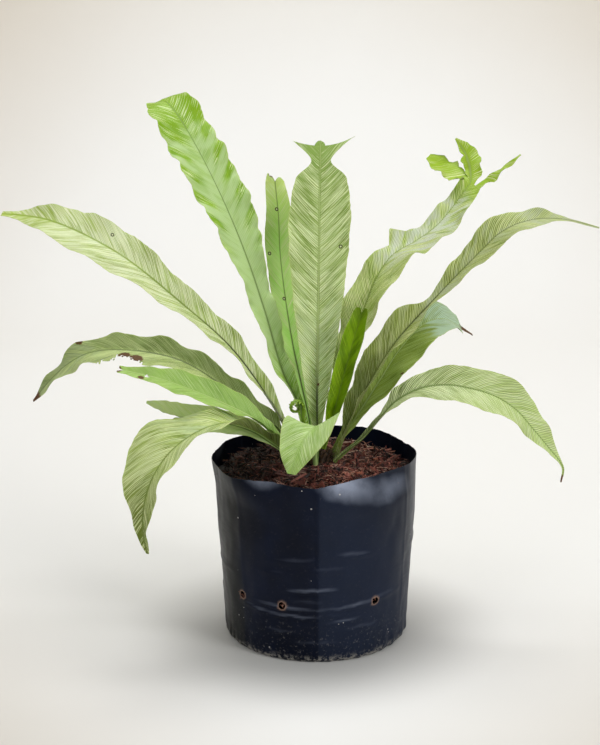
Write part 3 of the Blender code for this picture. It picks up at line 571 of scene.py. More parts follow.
# ---------------------------------------------------------------- materials
class Graph:
    """Short names for building one material's nodes."""

    def __init__(self, name):
        self.material = bpy.data.materials.new(name)
        self.material.use_nodes = True
        self.tree = self.material.node_tree
        self.shader = self.tree.nodes["Principled BSDF"]

    def put(self, socket, value):
        if hasattr(value, "is_output"):
            self.tree.links.new(value, socket)
        else:
            socket.default_value = value

    def node(self, kind, inputs=(), **settings):
        made = self.tree.nodes.new(kind)
        for key, value in settings.items():
            setattr(made, key, value)
        for key, value in dict(inputs).items():
            self.put(made.inputs[key], value)
        return made

    def field(self, name):
        return self.node("ShaderNodeAttribute", attribute_name=name).outputs["Fac"]

    def place(self):
        return self.node("ShaderNodeTexCoord").outputs["Object"]

    def maths(self, operation, first, second=0.0, clamp=False):
        made = self.node("ShaderNodeMath", operation=operation, use_clamp=clamp)
        for socket, value in zip(made.inputs, (first, second)):
            self.put(socket, value)
        return made.outputs[0]

    def add(self, first, second):
        return self.maths("ADD", first, second)

    def minus(self, first, second, clamp=False):
        return self.maths("SUBTRACT", first, second, clamp)

    def times(self, first, *others):
        """The product of two or more values."""
        for other in others:
            first = self.maths("MULTIPLY", first, other)
        return first

    def size(self, value):
        return self.maths("ABSOLUTE", value)

    def distance(self, x, y):
        return self.maths("SQRT", self.add(self.times(x, x), self.times(y, y)))

    def within(self, value, low, high, to_low=0.0, to_high=1.0):
        """A soft step from to_low at low to to_high at high."""
        made = self.node("ShaderNodeMapRange", interpolation_type="SMOOTHSTEP", inputs={
            "Value": value, "From Min": low, "From Max": high, "To Min": to_low, "To Max": to_high})
        return made.outputs["Result"]

    def vector(self, x=0.0, y=0.0, z=0.0):
        made = self.node("ShaderNodeCombineXYZ", {"X": x, "Y": y, "Z": z})
        return made.outputs["Vector"]

    def scaled(self, vector, factors):
        made = self.node("ShaderNodeVectorMath", operation="MULTIPLY")
        self.put(made.inputs[0], vector)
        self.put(made.inputs[1], factors)
        return made.outputs["Vector"]

    def noise(self, vector, scale=1.0, detail=2.0, rough=0.5, distortion=0.0):
        made = self.node("ShaderNodeTexNoise", {
            "Vector": vector, "Scale": scale, "Detail": detail, "Roughness": rough,
            "Distortion": distortion})
        return made.outputs["Fac"]

    def cloud(self, scales, detail, rough, distortion=0.0):
        """Noise in the object's own space, with a scale for each axis."""
        return self.noise(self.scaled(self.place(), scales), 1.0, detail, rough, distortion)

    def parts(self, vector):
        made = self.node("ShaderNodeSeparateXYZ", {"Vector": vector})
        return made.outputs["X"], made.outputs["Y"], made.outputs["Z"]

    def mix(self, amount, first, second):
        made = self.node("ShaderNodeMix", data_type="RGBA", clamp_factor=True)
        self.put(made.inputs["Factor"], amount)
        self.put(made.inputs[6], first)
        self.put(made.inputs[7], second)
        return made.outputs[2]

    def over(self, colour, paint, *amounts):
        """The colour painted over by the product of the amounts."""
        return self.mix(self.times(*amounts), colour, linear(paint))

    def ramp(self, value, stops):
        """A grey along (place, value) stops."""
        made = self.node("ShaderNodeValToRGB", {"Fac": value})
        band = made.color_ramp
        band.interpolation = "EASE" if len(stops) < 3 else "LINEAR"
        while len(band.elements) < len(stops):
            band.elements.new(1.0)
        for element, (place, _) in zip(band.elements, stops):
            element.position = place
        for element, (_, shade) in zip(band.elements, stops):
            element.color = (shade, shade, shade, 1)
        return made.outputs["Color"]

    def bump(self, height, strength, distance):
        made = self.node("ShaderNodeBump", {"Height": height, "Strength": strength, "Distance": distance})
        self.tree.links.new(made.outputs["Normal"], self.shader.inputs["Normal"])

    def finish(self, **values):
        for key, value in values.items():
            self.put(self.shader.inputs[key.replace("_", " ")], value)
        return self.material


def leaf_streaks(graph, vein, out, side, seed):
    """Noises drawn out along the veins: bands, the drifts of the painted sheen, hair-fine streaks and their
    clusters.
    """
    def streaks(width, length, number, detail):
        spot = graph.vector(graph.times(vein, 1 / width), graph.times(out, 1 / length),
                            graph.add(side, seed + number))
        return graph.noise(spot, 1.0, detail, 0.55)

    bands = streaks(5.0, 26, 5, 1.0)
    drifts = streaks(9, 16, 29, 1.0)
    fine = streaks(0.68, 17, 17, 0.0)
    clusters = streaks(15, 22, 23, 1.0)
    return bands, drifts, fine, clusters


def painted_sheen_amount(graph, frond, look, share, reach, vein, broad, drifts):
    """How much painted sheen, a pale glare painted where the blade faces the light, is on the blade, with
    bands towards the margins where it is gone.
    """
    sheen_spread = graph.within(graph.add(graph.times(broad, 0.5), drifts), 0.62, 0.88)
    patches = graph.times(sheen_spread, PATCHES.get(frond, PATCH))
    bloom = graph.within(graph.add(graph.ramp(share, look.bloom), patches), 0.5, 1.2)
    swell = graph.maths("SINE", graph.times(vein, 2 * pi / FLUSH_PITCH))
    flush = graph.times(graph.within(graph.size(reach), 0.2, 0.75), graph.within(swell, -0.5, 0.7),
                        graph.within(share, 0.42, 0.62, 0.0, FLUSHES.get(frond, 0)))
    return graph.minus(bloom, flush, clamp=True)


def midrib_over(graph, look, colour, share, out):
    """The midrib, dark or pale along its length, between two darker bands painted as the shade of shallow
    grooves.
    """
    edge = graph.maths("DIVIDE", out, graph.within(share, 0.0, 0.75, 1.7, 0.42))
    rib = graph.over(linear(look.rib_pale), RIB_DARK, graph.ramp(share, look.rib))
    colour = graph.mix(graph.within(edge, 1.15, 0.6), colour, rib)
    # Painted shade of the shallow grooves beside the midrib.
    groove = graph.times(graph.within(edge, 2.3, 1.2), graph.within(edge, 0.6, 1.15))
    return graph.over(colour, dimmed(look.deep, 0.66), groove, 0.22)


def underside_over(graph, frond, look, colour, bands, stripes, out, under):
    """The back of the blade, in duller greens with a pale midrib."""
    dim = BACKS.get(frond, BACK)
    back = graph.mix(graph.within(bands, 0.35, 0.65), linear(dimmed(look.deep, dim)),
                     linear(dimmed(look.light, dim * 1.1)))
    back = graph.over(back, look.cream, stripes, 0.25)
    back = graph.over(back, look.rib_pale, graph.within(out, 2.2, 1.0))
    return graph.mix(graph.times(under, 0.85), colour, back)


def rings_over(graph, colour, along, across, spots):
    """Small dark rings with a pale middle."""
    for ring_along, ring_across in spots:
        off = graph.distance(graph.add(along, -ring_along), graph.add(across, -ring_across))
        colour = graph.over(colour, RING_DARK, graph.within(off, 2.2, 1.7))
        colour = graph.over(colour, RING_PALE, graph.within(off, 1.1, 0.7))
    return colour


def scorch_over(graph, colour, along, across, seed):
    """Brown dry patches with ragged edges, where the frond is worn."""
    scorch = graph.noise(graph.vector(graph.times(along, 0.4), graph.times(across, 0.4), seed),
                         1.0, 3.0, 0.6)
    brown = graph.over(linear(BROWN_DARK), BROWN_PALE, scorch)
    burnt = graph.within(graph.add(graph.field("worn"), graph.times(scorch, 0.5)), 0.62, 0.85)
    return graph.mix(burnt, colour, brown)


def leaf_material(frond, look, seed, spots):
    """A fern blade: greens, cream stripes along the veins, painted sheen, painted shade on one half of some
    blades, midrib, ring spots and wear.
    """
    graph = Graph(frond + "_skin")
    along, across = graph.field("along"), graph.field("across")
    share, reach = graph.field("share"), graph.field("reach")
    out = graph.size(across)
    side = graph.times(graph.maths("GREATER_THAN", across, 0.0), 31.0)
    bend = graph.times(out, out, VEIN_BEND)
    vein = graph.minus(along, graph.add(graph.times(out, LEANS.get(frond, VEIN_LEAN)), bend))
    broad = graph.noise(graph.vector(graph.times(along, 1 / 34), graph.times(across, 1 / 17), seed),
                        1.0, 3.0, 0.55)
    bands, drifts, streak, cluster = leaf_streaks(graph, vein, out, side, seed)
    nearby = graph.vector(graph.times(along, 1 / 9), graph.times(out, 1 / 9), graph.add(side, seed))
    wander = graph.noise(nearby, 1.0, 2.0, 0.5)
    line = graph.maths("SINE", graph.add(graph.times(vein, 2 * pi / LINE_PITCH), graph.times(wander, 8)))
    fine = graph.within(share, 0.93, 1.0, look.fine, 0.3 * look.fine)

    colour = graph.over(linear(look.deep), look.light,
                        graph.within(graph.add(broad, graph.times(bands, 0.6)), 0.62, 0.98))
    colour = graph.over(colour, look.cream, graph.within(line, 0.0, 0.9),
                        graph.within(cluster, 0.35, 0.6, 0.35, 1.0), 0.8, fine)
    colour = graph.over(colour, look.tip, graph.ramp(share, look.tips))
    cover = graph.times(graph.ramp(share, look.cover), 0.30)
    amount = graph.add(graph.add(streak, graph.times(cluster, 0.35)), cover)
    stripes = graph.times(graph.within(amount, 0.80, 0.85), graph.within(out, 0.7, 1.8))
    colour = graph.over(colour, look.cream, stripes, 0.95)
    # Painted sheen: a pale glare painted where the blade faces the light.
    bloom = painted_sheen_amount(graph, frond, look, share, reach, vein, broad, drifts)
    colour = graph.over(colour, look.bloom_colour, bloom)
    colour = graph.over(colour, dimmed(look.deep, 0.78), graph.within(line, -0.1, -0.9, 0.0, 0.85), fine)
    # Painted shade on the half of the blade that faces away from the light.
    if frond in PAINTED_SHADE_HALVES:
        shaded_half, strength = PAINTED_SHADE_HALVES[frond]
        shaded = graph.within(graph.times(reach, shaded_half), 0.0, 0.25, 0.0, strength)
        colour = graph.over(colour, dimmed(look.deep, 0.72), shaded,
                            graph.within(share, 0.9, 0.3, 0.3, 1.0))
    colour = midrib_over(graph, look, colour, share, out)
    colour = graph.over(colour, MARGIN_PALE, graph.within(graph.size(reach), 0.94, 1.0), 0.45)
    colour = underside_over(graph, frond, look, colour, bands, stripes, out, graph.field("under"))
    colour = rings_over(graph, colour, along, across, spots)
    colour = scorch_over(graph, colour, along, across, seed)

    rough = graph.within(graph.add(graph.times(broad, 0.5), graph.times(streak, 0.5)), 0.3, 0.7, 0.42, 0.56)
    relief = graph.add(graph.times(streak, 0.6), graph.times(line, 0.16))
    graph.bump(graph.times(relief, graph.within(out, 0.5, 2.0)), 0.45, 0.0005)
    return graph.finish(Base_Color=colour, Roughness=rough, Specular_IOR_Level=0.22, Subsurface_Weight=0.15,
                        Subsurface_Radius=(0.6, 1.0, 0.25), Subsurface_Scale=0.002)


def film_material():
    """Black polythene: a satin sheen, a painted highlight on its upward ledges and folds, a painted sheen
    right of the front crease, painted shade on its left side, pale specks, and dried mud at the foot.
    """
    graph = Graph("black_film")
    place = graph.place()
    height = graph.parts(place)[2]
    cloud = graph.cloud((14, 14, 9), 3.0, 0.55)
    scuff = graph.cloud((60, 60, 420), 3.0, 0.6)
    fluff = graph.cloud((90, 90, 90), 3.0, 0.6)
    colour = graph.over(linear((4, 10, 26)), (12, 22, 44), graph.within(cloud, 0.35, 0.7))
    # Painted shade on the bag's left side.
    colour = graph.over(colour, (26, 27, 20), graph.field("painted_side_shade"), 0.8)
    # Painted sheen on the film right of the front crease.
    colour = graph.over(colour, (34, 42, 58), graph.field("pale"), 0.5)
    # Painted highlight on the upward ledges under the rim and on the folds.
    ledge_highlight = graph.times(graph.field("ledge_highlight"), graph.within(fluff, 0.2, 0.6, 0.6, 0.95))
    colour = graph.over(colour, (152, 161, 180), ledge_highlight)
    low = graph.within(height, 0.06, 0.0)
    dust = graph.within(graph.cloud((330, 330, 330), 4.0, 0.75), 0.55, 0.72)
    grit = graph.times(dust, graph.add(graph.times(low, 0.32), 0.03))
    colour = graph.over(colour, (150, 146, 142), grit)
    specks = graph.node("ShaderNodeTexVoronoi", {"Vector": place, "Scale": 230})
    chance = graph.node("ShaderNodeSeparateColor", {"Color": specks.outputs["Color"]})
    rare = graph.within(graph.add(chance.outputs["Red"], graph.times(low, 0.10)), 0.984, 0.988)
    off = graph.minus(specks.outputs["Distance"], graph.times(chance.outputs["Green"], 0.16))
    colour = graph.over(colour, (188, 186, 184), graph.within(off, 0.08, 0.02), rare, 0.85)
    mud = graph.times(graph.within(height, 0.010, 0.0005),
                      graph.within(graph.noise(place, 210, 4.0, 0.7), 0.46, 0.58))
    colour = graph.over(colour, (168, 164, 156), mud, 0.8)
    colour = graph.over(colour, (138, 112, 98), graph.field("punch"),
                        graph.within(fluff, 0.3, 0.55, 0.5, 1.0))
    worn = graph.add(graph.times(cloud, 0.7), graph.times(scuff, 0.3))
    rough = graph.within(worn, 0.35, 0.65, 0.33, 0.46)
    rough = graph.add(rough, graph.times(graph.add(graph.add(grit, mud), ledge_highlight), 0.2))
    relief = graph.add(graph.times(cloud, 0.8), graph.times(scuff, 0.05))
    wrinkle = graph.cloud((45, 45, 90), 2.0, 0.5, 0.4)
    graph.bump(graph.add(relief, graph.times(wrinkle, 0.35)), 0.3, 0.0016)
    return graph.finish(Base_Color=colour, Roughness=rough, Specular_IOR_Level=0.11)


def coir_material(name, dark, red, pale, stretch=(1, 1, 1)):
    """Damp chopped coir: dark red-brown with paler fibres, and painted shade that darkens it towards the
    left.
    """
    graph = Graph(name)
    place = graph.place()
    tone = graph.noise(place, 95, 4.0, 0.65)
    grain = graph.cloud(tuple(700 * part for part in stretch), 3.0, 0.6)
    tint = graph.field("tint")
    colour = graph.over(linear(dark), red, graph.within(tone, 0.35, 0.62))
    colour = graph.over(colour, pale, graph.within(grain, 0.52, 0.7), 0.75)
    colour = graph.over(colour, dark, graph.within(tint, 0.0, 0.42, 0.75, 0.0))
    colour = graph.over(colour, pale, graph.within(tint, 0.68, 1.0, 0.0, 0.8))
    # Painted shade: darker towards the left, where the fronds shade the coir.
    left_shade = graph.within(graph.parts(place)[0], 0.02, -0.07, 0.0, 0.95)
    colour = graph.over(colour, dark, left_shade, graph.within(tone, 0.75, 0.55))
    graph.bump(graph.add(grain, graph.times(tone, 0.6)), 0.7, 0.0006)
    return graph.finish(Base_Color=colour, Roughness=graph.within(grain, 0.3, 0.7, 0.50, 0.85),
                        Specular_IOR_Level=0.45)


def crown_material():
    """The rhizome: near-black papery scales with brown edges."""
    graph = Graph("crown_scales")
    tone = graph.cloud((220, 220, 90), 4.0, 0.6)
    colour = graph.over(linear((24, 18, 12)), (74, 52, 32), graph.within(tone, 0.4, 0.65))
    colour = graph.over(colour, (96, 72, 44), graph.within(graph.field("tint"), 0.5, 1.0))
    graph.bump(tone, 0.6, 0.0005)
    return graph.finish(Base_Color=colour, Roughness=graph.within(tone, 0.3, 0.7, 0.6, 0.85),
                        Specular_IOR_Level=0.35)


def curl_material():
    """The youngest frond: bright green, paler on its frilled margins, with a few brown scales."""
    graph = Graph("young_curl")
    tone = graph.cloud((160, 160, 60), 3.0, 0.55)
    colour = graph.over(linear((78, 110, 18)), (124, 158, 40), graph.within(tone, 0.35, 0.65))
    colour = graph.over(colour, (158, 190, 66), graph.within(graph.field("share"), 0.15, 0.9), 0.85)
    scales = graph.within(graph.noise(graph.place(), 620, 2.0, 0.5), 0.62, 0.7)
    colour = graph.over(colour, (92, 66, 34), scales, 0.6)
    graph.bump(tone, 0.4, 0.0004)
    return graph.finish(Base_Color=colour, Roughness=graph.within(tone, 0.3, 0.7, 0.38, 0.52),
                        Specular_IOR_Level=0.4)


def backdrop_material():
    """Pale warm paper, with painted shade that makes it darker and warmer towards its far corners and the
    floor's near sides, a painted shadow where the bag stands, and a painted glow in its own colour that
    grows towards the wall.
    """
    graph = Graph("pale_paper")
    place = graph.place()
    x, y, z = graph.parts(place)
    rise = graph.add(graph.times(z, 1.15), graph.times(y, 0.12))
    mottle = graph.times(graph.noise(place, 3.0, 2.0, 0.5), 0.1)
    far = graph.add(graph.distance(graph.times(x, 1.25), rise), mottle)
    # Painted shade: darker and warmer towards the far corners.
    colour = graph.over(linear((239, 239, 236)), (212, 203, 188), graph.within(far, 0.62, 1.65))
    near = graph.minus(graph.times(graph.size(x), 1.2), y)
    # Painted shade towards the floor's near sides.
    colour = graph.over(colour, (205, 199, 188), graph.within(near, 0.15, 0.8))
    # Painted shadow where the bag stands.
    colour = graph.over(colour, (120, 119, 114), graph.within(graph.distance(x, y), 0.20, 0.09, 0.0, 0.42))
    # Painted light: the paper glows in its own colour, more towards the wall.
    graph.put(graph.shader.inputs["Emission Color"], colour)
    graph.finish(Base_Color=colour, Roughness=0.9, Specular_IOR_Level=0.1,
                 Emission_Strength=graph.within(y, 0.2, 2.0, 0.02, 0.14))
    clear_from_behind(graph)
    return graph.material


def clear_from_behind(graph):
    """Makes the sheet clear from its far side, so that it never hides the plant."""
    behind = graph.node("ShaderNodeNewGeometry").outputs["Backfacing"]
    blend = graph.node("ShaderNodeMixShader", {"Fac": behind})
    graph.put(blend.inputs[1], graph.shader.outputs["BSDF"])
    graph.put(blend.inputs[2], graph.node("ShaderNodeBsdfTransparent").outputs["BSDF"])
    graph.put(graph.tree.nodes["Material Output"].inputs["Surface"], blend.outputs["Shader"])


# ---------------------------------------------------------------- grow bag
BAG_AROUND = 340
BAG_ROWS = 120
BAG_FLOOR_RINGS = 10
BAG_HEEL_ROWS = 8
HEAVE = 1.0                 # mm, the film's broad unevenness
RUMPLE = 0.4                # mm, its smaller unevenness
PUCKER = 1.3                # mm, at the foot
# Vertical creases: (angle, ridge in mm, half width in degrees, share of the height where it is full).
CREASES = ((-137, 0.15, 1.2, 0.2), (-27, 0.3, 1.2, 0.2), (42, 0.8, 1.2, 0.2), (139, 0.8, 1.2, 0.2),
           (-89, 1.4, 0.9, 0.15))
FRONT_CREASE = CREASES[-1][0]
RIM_BULGE = 0.885           # share of the height where the film bulges most below a dent
# Where the film is pressed in under the rim: (angle, half span, depth at the rim in mm, bulge below in mm).
RIM_DENTS = ((-75, 25, 2.6, 3.6), (-120, 22, 2.6, 1.6), (100, 25, 2, 1.5), (170, 20, 2, 1.0))
# Folds in the film: (angle, height in mm, half span in degrees, half thickness in mm, depth in mm,
# slope in mm for each degree).
FOLDS = (
    (-92, 74, 20, 2.2, 1.6, 0.05), (-96, 66, 16, 3, -1.1, 0), (-108, 55, 27, 2.4, 1.5, -0.06),
    (-104, 47, 26, 2.4, 1.5, -0.03), (-70, 56, 22, 2.4, 1.4, 0.1), (-74, 42, 16, 2.2, 1.1, 0.08),
    (-80, 49, 12, 2, 1, 0.02), (-128, 50, 14, 2.4, 1, -0.1), (-103, 103, 19, 3.5, 1.1, 0.09),
    (-68, 108, 16, 3.2, 1.2, -0.1), (-84, 95, 16, 3.5, 0.9, 0), (-112, 90, 12, 3.2, 0.8, 0.1),
    (-112, 30, 16, 2.7, 0.9, -0.03), (-60, 33, 19, 3, 0.9, 0.06), (-45, 60, 16, 3.2, 1, 0.1),
    (-90, 20, 22, 2.7, 0.8, 0), (20, 60, 27, 3, 1.1, 0.05), (70, 85, 24, 3.5, 1.1, -0.04),
    (95, 50, 30, 2.7, 1.4, 0.03), (130, 70, 24, 3, 1.1, 0.06), (165, 45, 24, 3, 1.1, -0.05),
    (-165, 80, 22, 3.2, 1, 0.05), (60, 35, 22, 2.7, 1, 0), (0, 100, 19, 3.5, 1, 0.06),
)


def mouth_at(angle):
    """Radius share and lift of the rim, straight between the creases of the mouth."""
    turned = (angle - MOUTH[0][0]) % 360 + MOUTH[0][0]
    ring = MOUTH + ((MOUTH[0][0] + 360, *MOUTH[0][1:]),)
    for (start, share_a, lift_a), (end, share_b, lift_b) in zip(ring, ring[1:]):
        if turned <= end:
            step = (turned - start) / (end - start)
            return between(share_a, share_b, step), between(lift_a, lift_b, step)
    return ring[-1][1:]


def apart(angle, other):
    """Signed difference of two angles, from -180 to 180."""
    return (angle - other + 180) % 360 - 180


def heel_inset(height):
    """How far the film stands in at the rounded turn above the floor."""
    heel = max(0, 1 - height / BAG_HEEL)
    return BAG_TUCK * heel * heel


def plain_bag_radius(angle, height):
    """Outer radius of the bag without its wrinkles."""
    rise = min(max(height / BAG_HEIGHT, 0), 1)
    share, _ = mouth_at(angle)
    radius = between(BAG_BASE_RADIUS, BAG_TOP_RADIUS, rise) * between(1, share, rise ** 1.5)
    return radius - heel_inset(height)


def rim_dents(angle, rise):
    """Where the film leans in under the rim and bulges below that, in mm."""
    total = 0
    for centre, half, depth, bulge in RIM_DENTS:
        off = apart(angle, centre) / half
        if abs(off) < 1:
            lean_in = max(0, (rise - RIM_BULGE) / (1 - RIM_BULGE)) ** 2
            swell = bulge * smooth(RIM_BULGE - 0.13, RIM_BULGE, rise)
            total += (swell - (depth + bulge) * lean_in) * cos(pi * off / 2) ** 2
    return total


def creases(angle, rise):
    """The sharp vertical ridges, in mm."""
    total = 0
    for centre, ridge, half, full in CREASES:
        off = apart(angle, centre) / half
        if abs(off) < 3:
            total += ridge * exp(-off * off) * smooth(0.02, full, rise)
    return total


def folds(angle, height):
    """The soft folds that run across the film, in mm."""
    total = 0
    for centre, level, half, thick, depth, slope in FOLDS:
        off = apart(angle, centre)
        if abs(off) < half:
            wander = 1.6 * drift(angle / 7, level, 2)
            line = (height / MM - level - slope * off - wander) / thick
            if abs(line) < 3:
                total += depth * exp(-line * line) * cos(pi * off / half / 2)
    return total


def bag_skin(angle, height):
    """Radius of the film, pushed in under the mouth, with creases, folds and heel puckers."""
    rise = min(height / BAG_HEIGHT, 1)
    share, _ = mouth_at(angle)
    lean = 0.25 * rise ** 1.5 + 0.75 * smooth(0.82, 1.0, rise)
    radius = between(BAG_BASE_RADIUS, BAG_TOP_RADIUS, rise) * between(1, share, lean) - heel_inset(height)
    x, y = cos(radians(angle)), sin(radians(angle))
    uneven = HEAVE * drift(x * 3, y * 3, height * 22) + RUMPLE * drift(x * 9, y * 9, height * 60 + 7)
    pucker = PUCKER * drift(x * 16, y * 16, height * 40) * smooth(0.026, 0.004, height)
    relief = rim_dents(angle, rise) + creases(angle, rise) + folds(angle, height)
    return radius + (relief + uneven * smooth(0, 0.06, rise) + pucker) * MM - FILM


def bag_rings():
    """Rings of points over the floor and up the wall."""
    angles = [360 * step / BAG_AROUND for step in range(BAG_AROUND)]
    rings = []
    for step in range(1, BAG_FLOOR_RINGS + 1):
        share = step / (BAG_FLOOR_RINGS + 1)
        rings.append([polar(bag_skin(angle, 0) * share, angle, FILM * 0.5) for angle in angles])
    levels = [BAG_HEEL * step / BAG_HEEL_ROWS for step in range(BAG_HEEL_ROWS)]
    levels += [between(BAG_HEEL, BAG_HEIGHT, step / BAG_ROWS) for step in range(BAG_ROWS + 1)]
    for level in levels:
        ring = []
        for angle in angles:
            nick = 0.0006 * drift(cos(radians(angle)) * 22, sin(radians(angle)) * 22, 3)
            height = level + (mouth_at(angle)[1] + nick - 0.0004) * smooth(0.8, 1, level / BAG_HEIGHT)
            ring.append(polar(bag_skin(angle, level), angle, max(height, FILM * 0.5)))
        rings.append(ring)
    return rings


def bag_marks(points, faces):
    """Fields for the film's colour: a painted highlight on its upward ledges, a painted sheen right of the
    front crease, painted shade on its left side, and torn hole edges.
    """
    slope = grid_normals(points, faces)[:, 2]
    angles = np.degrees(np.arctan2(points[:, 1], points[:, 0]))
    heights = points[:, 2]
    # Painted highlight where the film faces up, strongest under the rim.
    ledge_highlight = np.clip((slope - 0.06) / 0.40, 0, 1) ** 1.3 * np.clip(heights / 0.02, 0, 1)
    ledge_highlight *= 0.35 + 0.65 * np.clip((heights / BAG_HEIGHT - 0.78) / 0.08, 0, 1)
    # Painted shade on the left side of the film.
    painted_side_shade = np.clip(1 - np.abs((angles + 158) / 20), 0, 1) ** 0.3
    punch = np.zeros(len(points))
    for angle in DRAIN_ANGLES:
        middle = np.array(polar(plain_bag_radius(angle, DRAIN_HEIGHT), angle, DRAIN_HEIGHT))
        off = np.linalg.norm(points - middle, axis=1) / DRAIN_DIAMETER
        punch = np.maximum(punch, np.clip((0.78 - off) / 0.2, 0, 1))
    # Painted sheen right of the front crease.
    pale = np.clip((angles - FRONT_CREASE) / 1.5, 0, 1) * np.clip((30 - angles) / 70, 0, 1)
    return {"ledge_highlight": ledge_highlight, "pale": pale, "painted_side_shade": painted_side_shade, "punch": punch}


def make_bag(material):
    """The film as one thin closed sheet, with its drain holes punched through."""
    rings = bag_rings()
    points = np.array([tuple(point) for ring in rings for point in ring])
    faces, points = punch_drains(points, np.array(ring_faces(len(rings), BAG_AROUND, capped=False)))
    half = np.full(len(points), FILM / 2)
    solid, every, fields = thicken(points, faces, half, half, bag_marks(points, faces))
    add_object("bag", solid, every, material, 70, fields, "grow_bag")


def punch_drains(points, faces):
    """Drops the quads inside each drain hole and draws the hole's edge round."""
    radius = DRAIN_DIAMETER / 2
    keep = np.ones(len(faces), bool)
    centres = points[faces].mean(1)
    for angle in DRAIN_ANGLES:
        outward = np.array(polar(1, angle))
        middle = np.array(polar(plain_bag_radius(angle, DRAIN_HEIGHT), angle, DRAIN_HEIGHT))
        near = (centres - middle) @ outward > -0.02
        off = centres - middle - ((centres - middle) @ outward)[:, None] * outward
        inside = near & (np.linalg.norm(off, axis=1) < radius)
        keep &= ~inside
        edge = np.unique(faces[inside])
        for index in edge:
            shift = points[index] - middle
            shift -= (shift @ outward) * outward
            size = np.linalg.norm(shift)
            if size > radius * 0.55:
                points[index] += shift * (radius / size - 1)
    return faces[keep], points


# ---------------------------------------------------------------- growing medium
CHIP_COUNT = 1700
FIBRE_COUNT = 1500
DRAIN_FIBRES = 12
HUSK_COUNT = 12
HUSK_FIBRES = 7
HUSK_FIBRE_RADIUS = 0.00022
CHIP_LENGTH = (0.004, 0.010)
CHIP_WIDTH = (0.07, 0.18)   # as a share of its length
CHIP_THICKNESS = (0.04, 0.12)
CHIP_TILT = 0.62            # radians, the spread of the chips' tilt
FIBRE_LENGTH = (0.006, 0.020)
FIBRE_RADIUS = (0.00015, 0.00040)
DRAIN_FIBRE_RADIUS = 0.0003
BED_RINGS = 44
BED_AROUND = 160
BED_DEPTH = 0.014           # how deep the visible bed of coir goes
BED_CRUMBS = ((90, 3.4), (260, 2.2))    # (closeness, height in mm) of its larger and smaller crumbs
BED_DROP = 2.2              # mm, how far the bed lies under the tops of its crumbs
WALL_CLEARANCE = 0.0034     # from the film's outer side in to the coir


def fill_level(x, y):
    """Height of the growing medium's surface, as in the frame."""
    reach = min(hypot(x, y) / BAG_TOP_RADIUS, 1)
    lumps = sin(x * LUMP_TURNS[0] + 1.3) * cos(y * LUMP_TURNS[1])
    crumbs = 0.6 * sin(x * CRUMB_TURNS[0] + y * CRUMB_TURNS[1])
    calm = min(1, max(0, (hypot(x, y) - ROOT_RADIUS) / ROOT_RADIUS))
    mound = FILL_MOUND * (1 - reach * reach)
    return BAG_HEIGHT - FILL_DROP + mound + FILL_BUMP * (lumps + crumbs) * calm


def crumbly(x, y):
    """The surface with its crumbs."""
    rough = sum(drift(x * turns, y * turns, 1 + layer) * height
                for layer, (turns, height) in enumerate(BED_CRUMBS))
    return fill_level(x, y) + (rough - BED_DROP) * MM


def wall_inside(angle, height):
    """Radius of the space that the coir has inside the film."""
    return min(plain_bag_radius(angle, height), bag_skin(angle, height)) - WALL_CLEARANCE


def make_medium(material):
    """The bed of coir: its crumbly top, a skirt down the wall, and a flat underside."""
    rings, around = BED_RINGS, BED_AROUND
    points = [(0, 0, crumbly(0, 0))]
    for ring in range(1, rings + 1):
        for step in range(around):
            angle = 360 * step / around
            radius = wall_inside(angle, BAG_HEIGHT - FILL_DROP) * ring / rings
            spot = polar(radius, angle)
            points.append((spot.x, spot.y, crumbly(spot.x, spot.y)))
    skirt = len(points)
    depth = BAG_HEIGHT - FILL_DROP - BED_DEPTH
    for step in range(around):
        angle = 360 * step / around
        points.append(tuple(polar(wall_inside(angle, depth), angle, depth)))
    points.append((0, 0, depth))
    faces = [(0, 1 + step, 1 + (step + 1) % around) for step in range(around)]
    for ring in range(rings):
        low = 1 + ring * around
        for step in range(around):
            after = (step + 1) % around
            faces.append((low + step, low + around + step, low + around + after, low + after))
    for step in range(around):
        faces.append((skirt + step, len(points) - 1, skirt + (step + 1) % around))
    tint = [0.35 + 0.3 * drift(point[0] * 120, point[1] * 120, 5) for point in points]
    add_object("coir_bed", points, faces, material, 60, {"tint": tint}, "growing_medium")


def scatter_spot(source, margin):
    """A seeded spot on the medium, clear of the wall."""
    while True:
        angle = source.uniform(-180, 180)
        share = source.random() ** 0.5
        radius = (wall_inside(angle, BAG_HEIGHT - FILL_DROP) - margin) * share
        if radius > CROWN_RADIUS * 0.9:
            return polar(radius, angle)


def chip_shape(source, size):
    """Points and faces of one chopped husk chip: a ragged bar with torn ends."""
    points = []
    sides, rings = 5, 4
    for ring in range(rings):
        share = ring / (rings - 1)
        girth = 0.55 + 0.45 * sin(pi * min(max(share, 0.12), 0.9))
        for side in range(sides):
            turn = 2 * pi * side / sides
            wobble = source.uniform(0.65, 1.25)
            girth_here = girth * wobble
            points.append(Vector(((share - 0.5 + source.uniform(-0.12, 0.12)) * size.x,
                                  cos(turn) * size.y * girth_here, sin(turn) * size.z * girth_here)))
    return points, ring_faces(rings, sides)


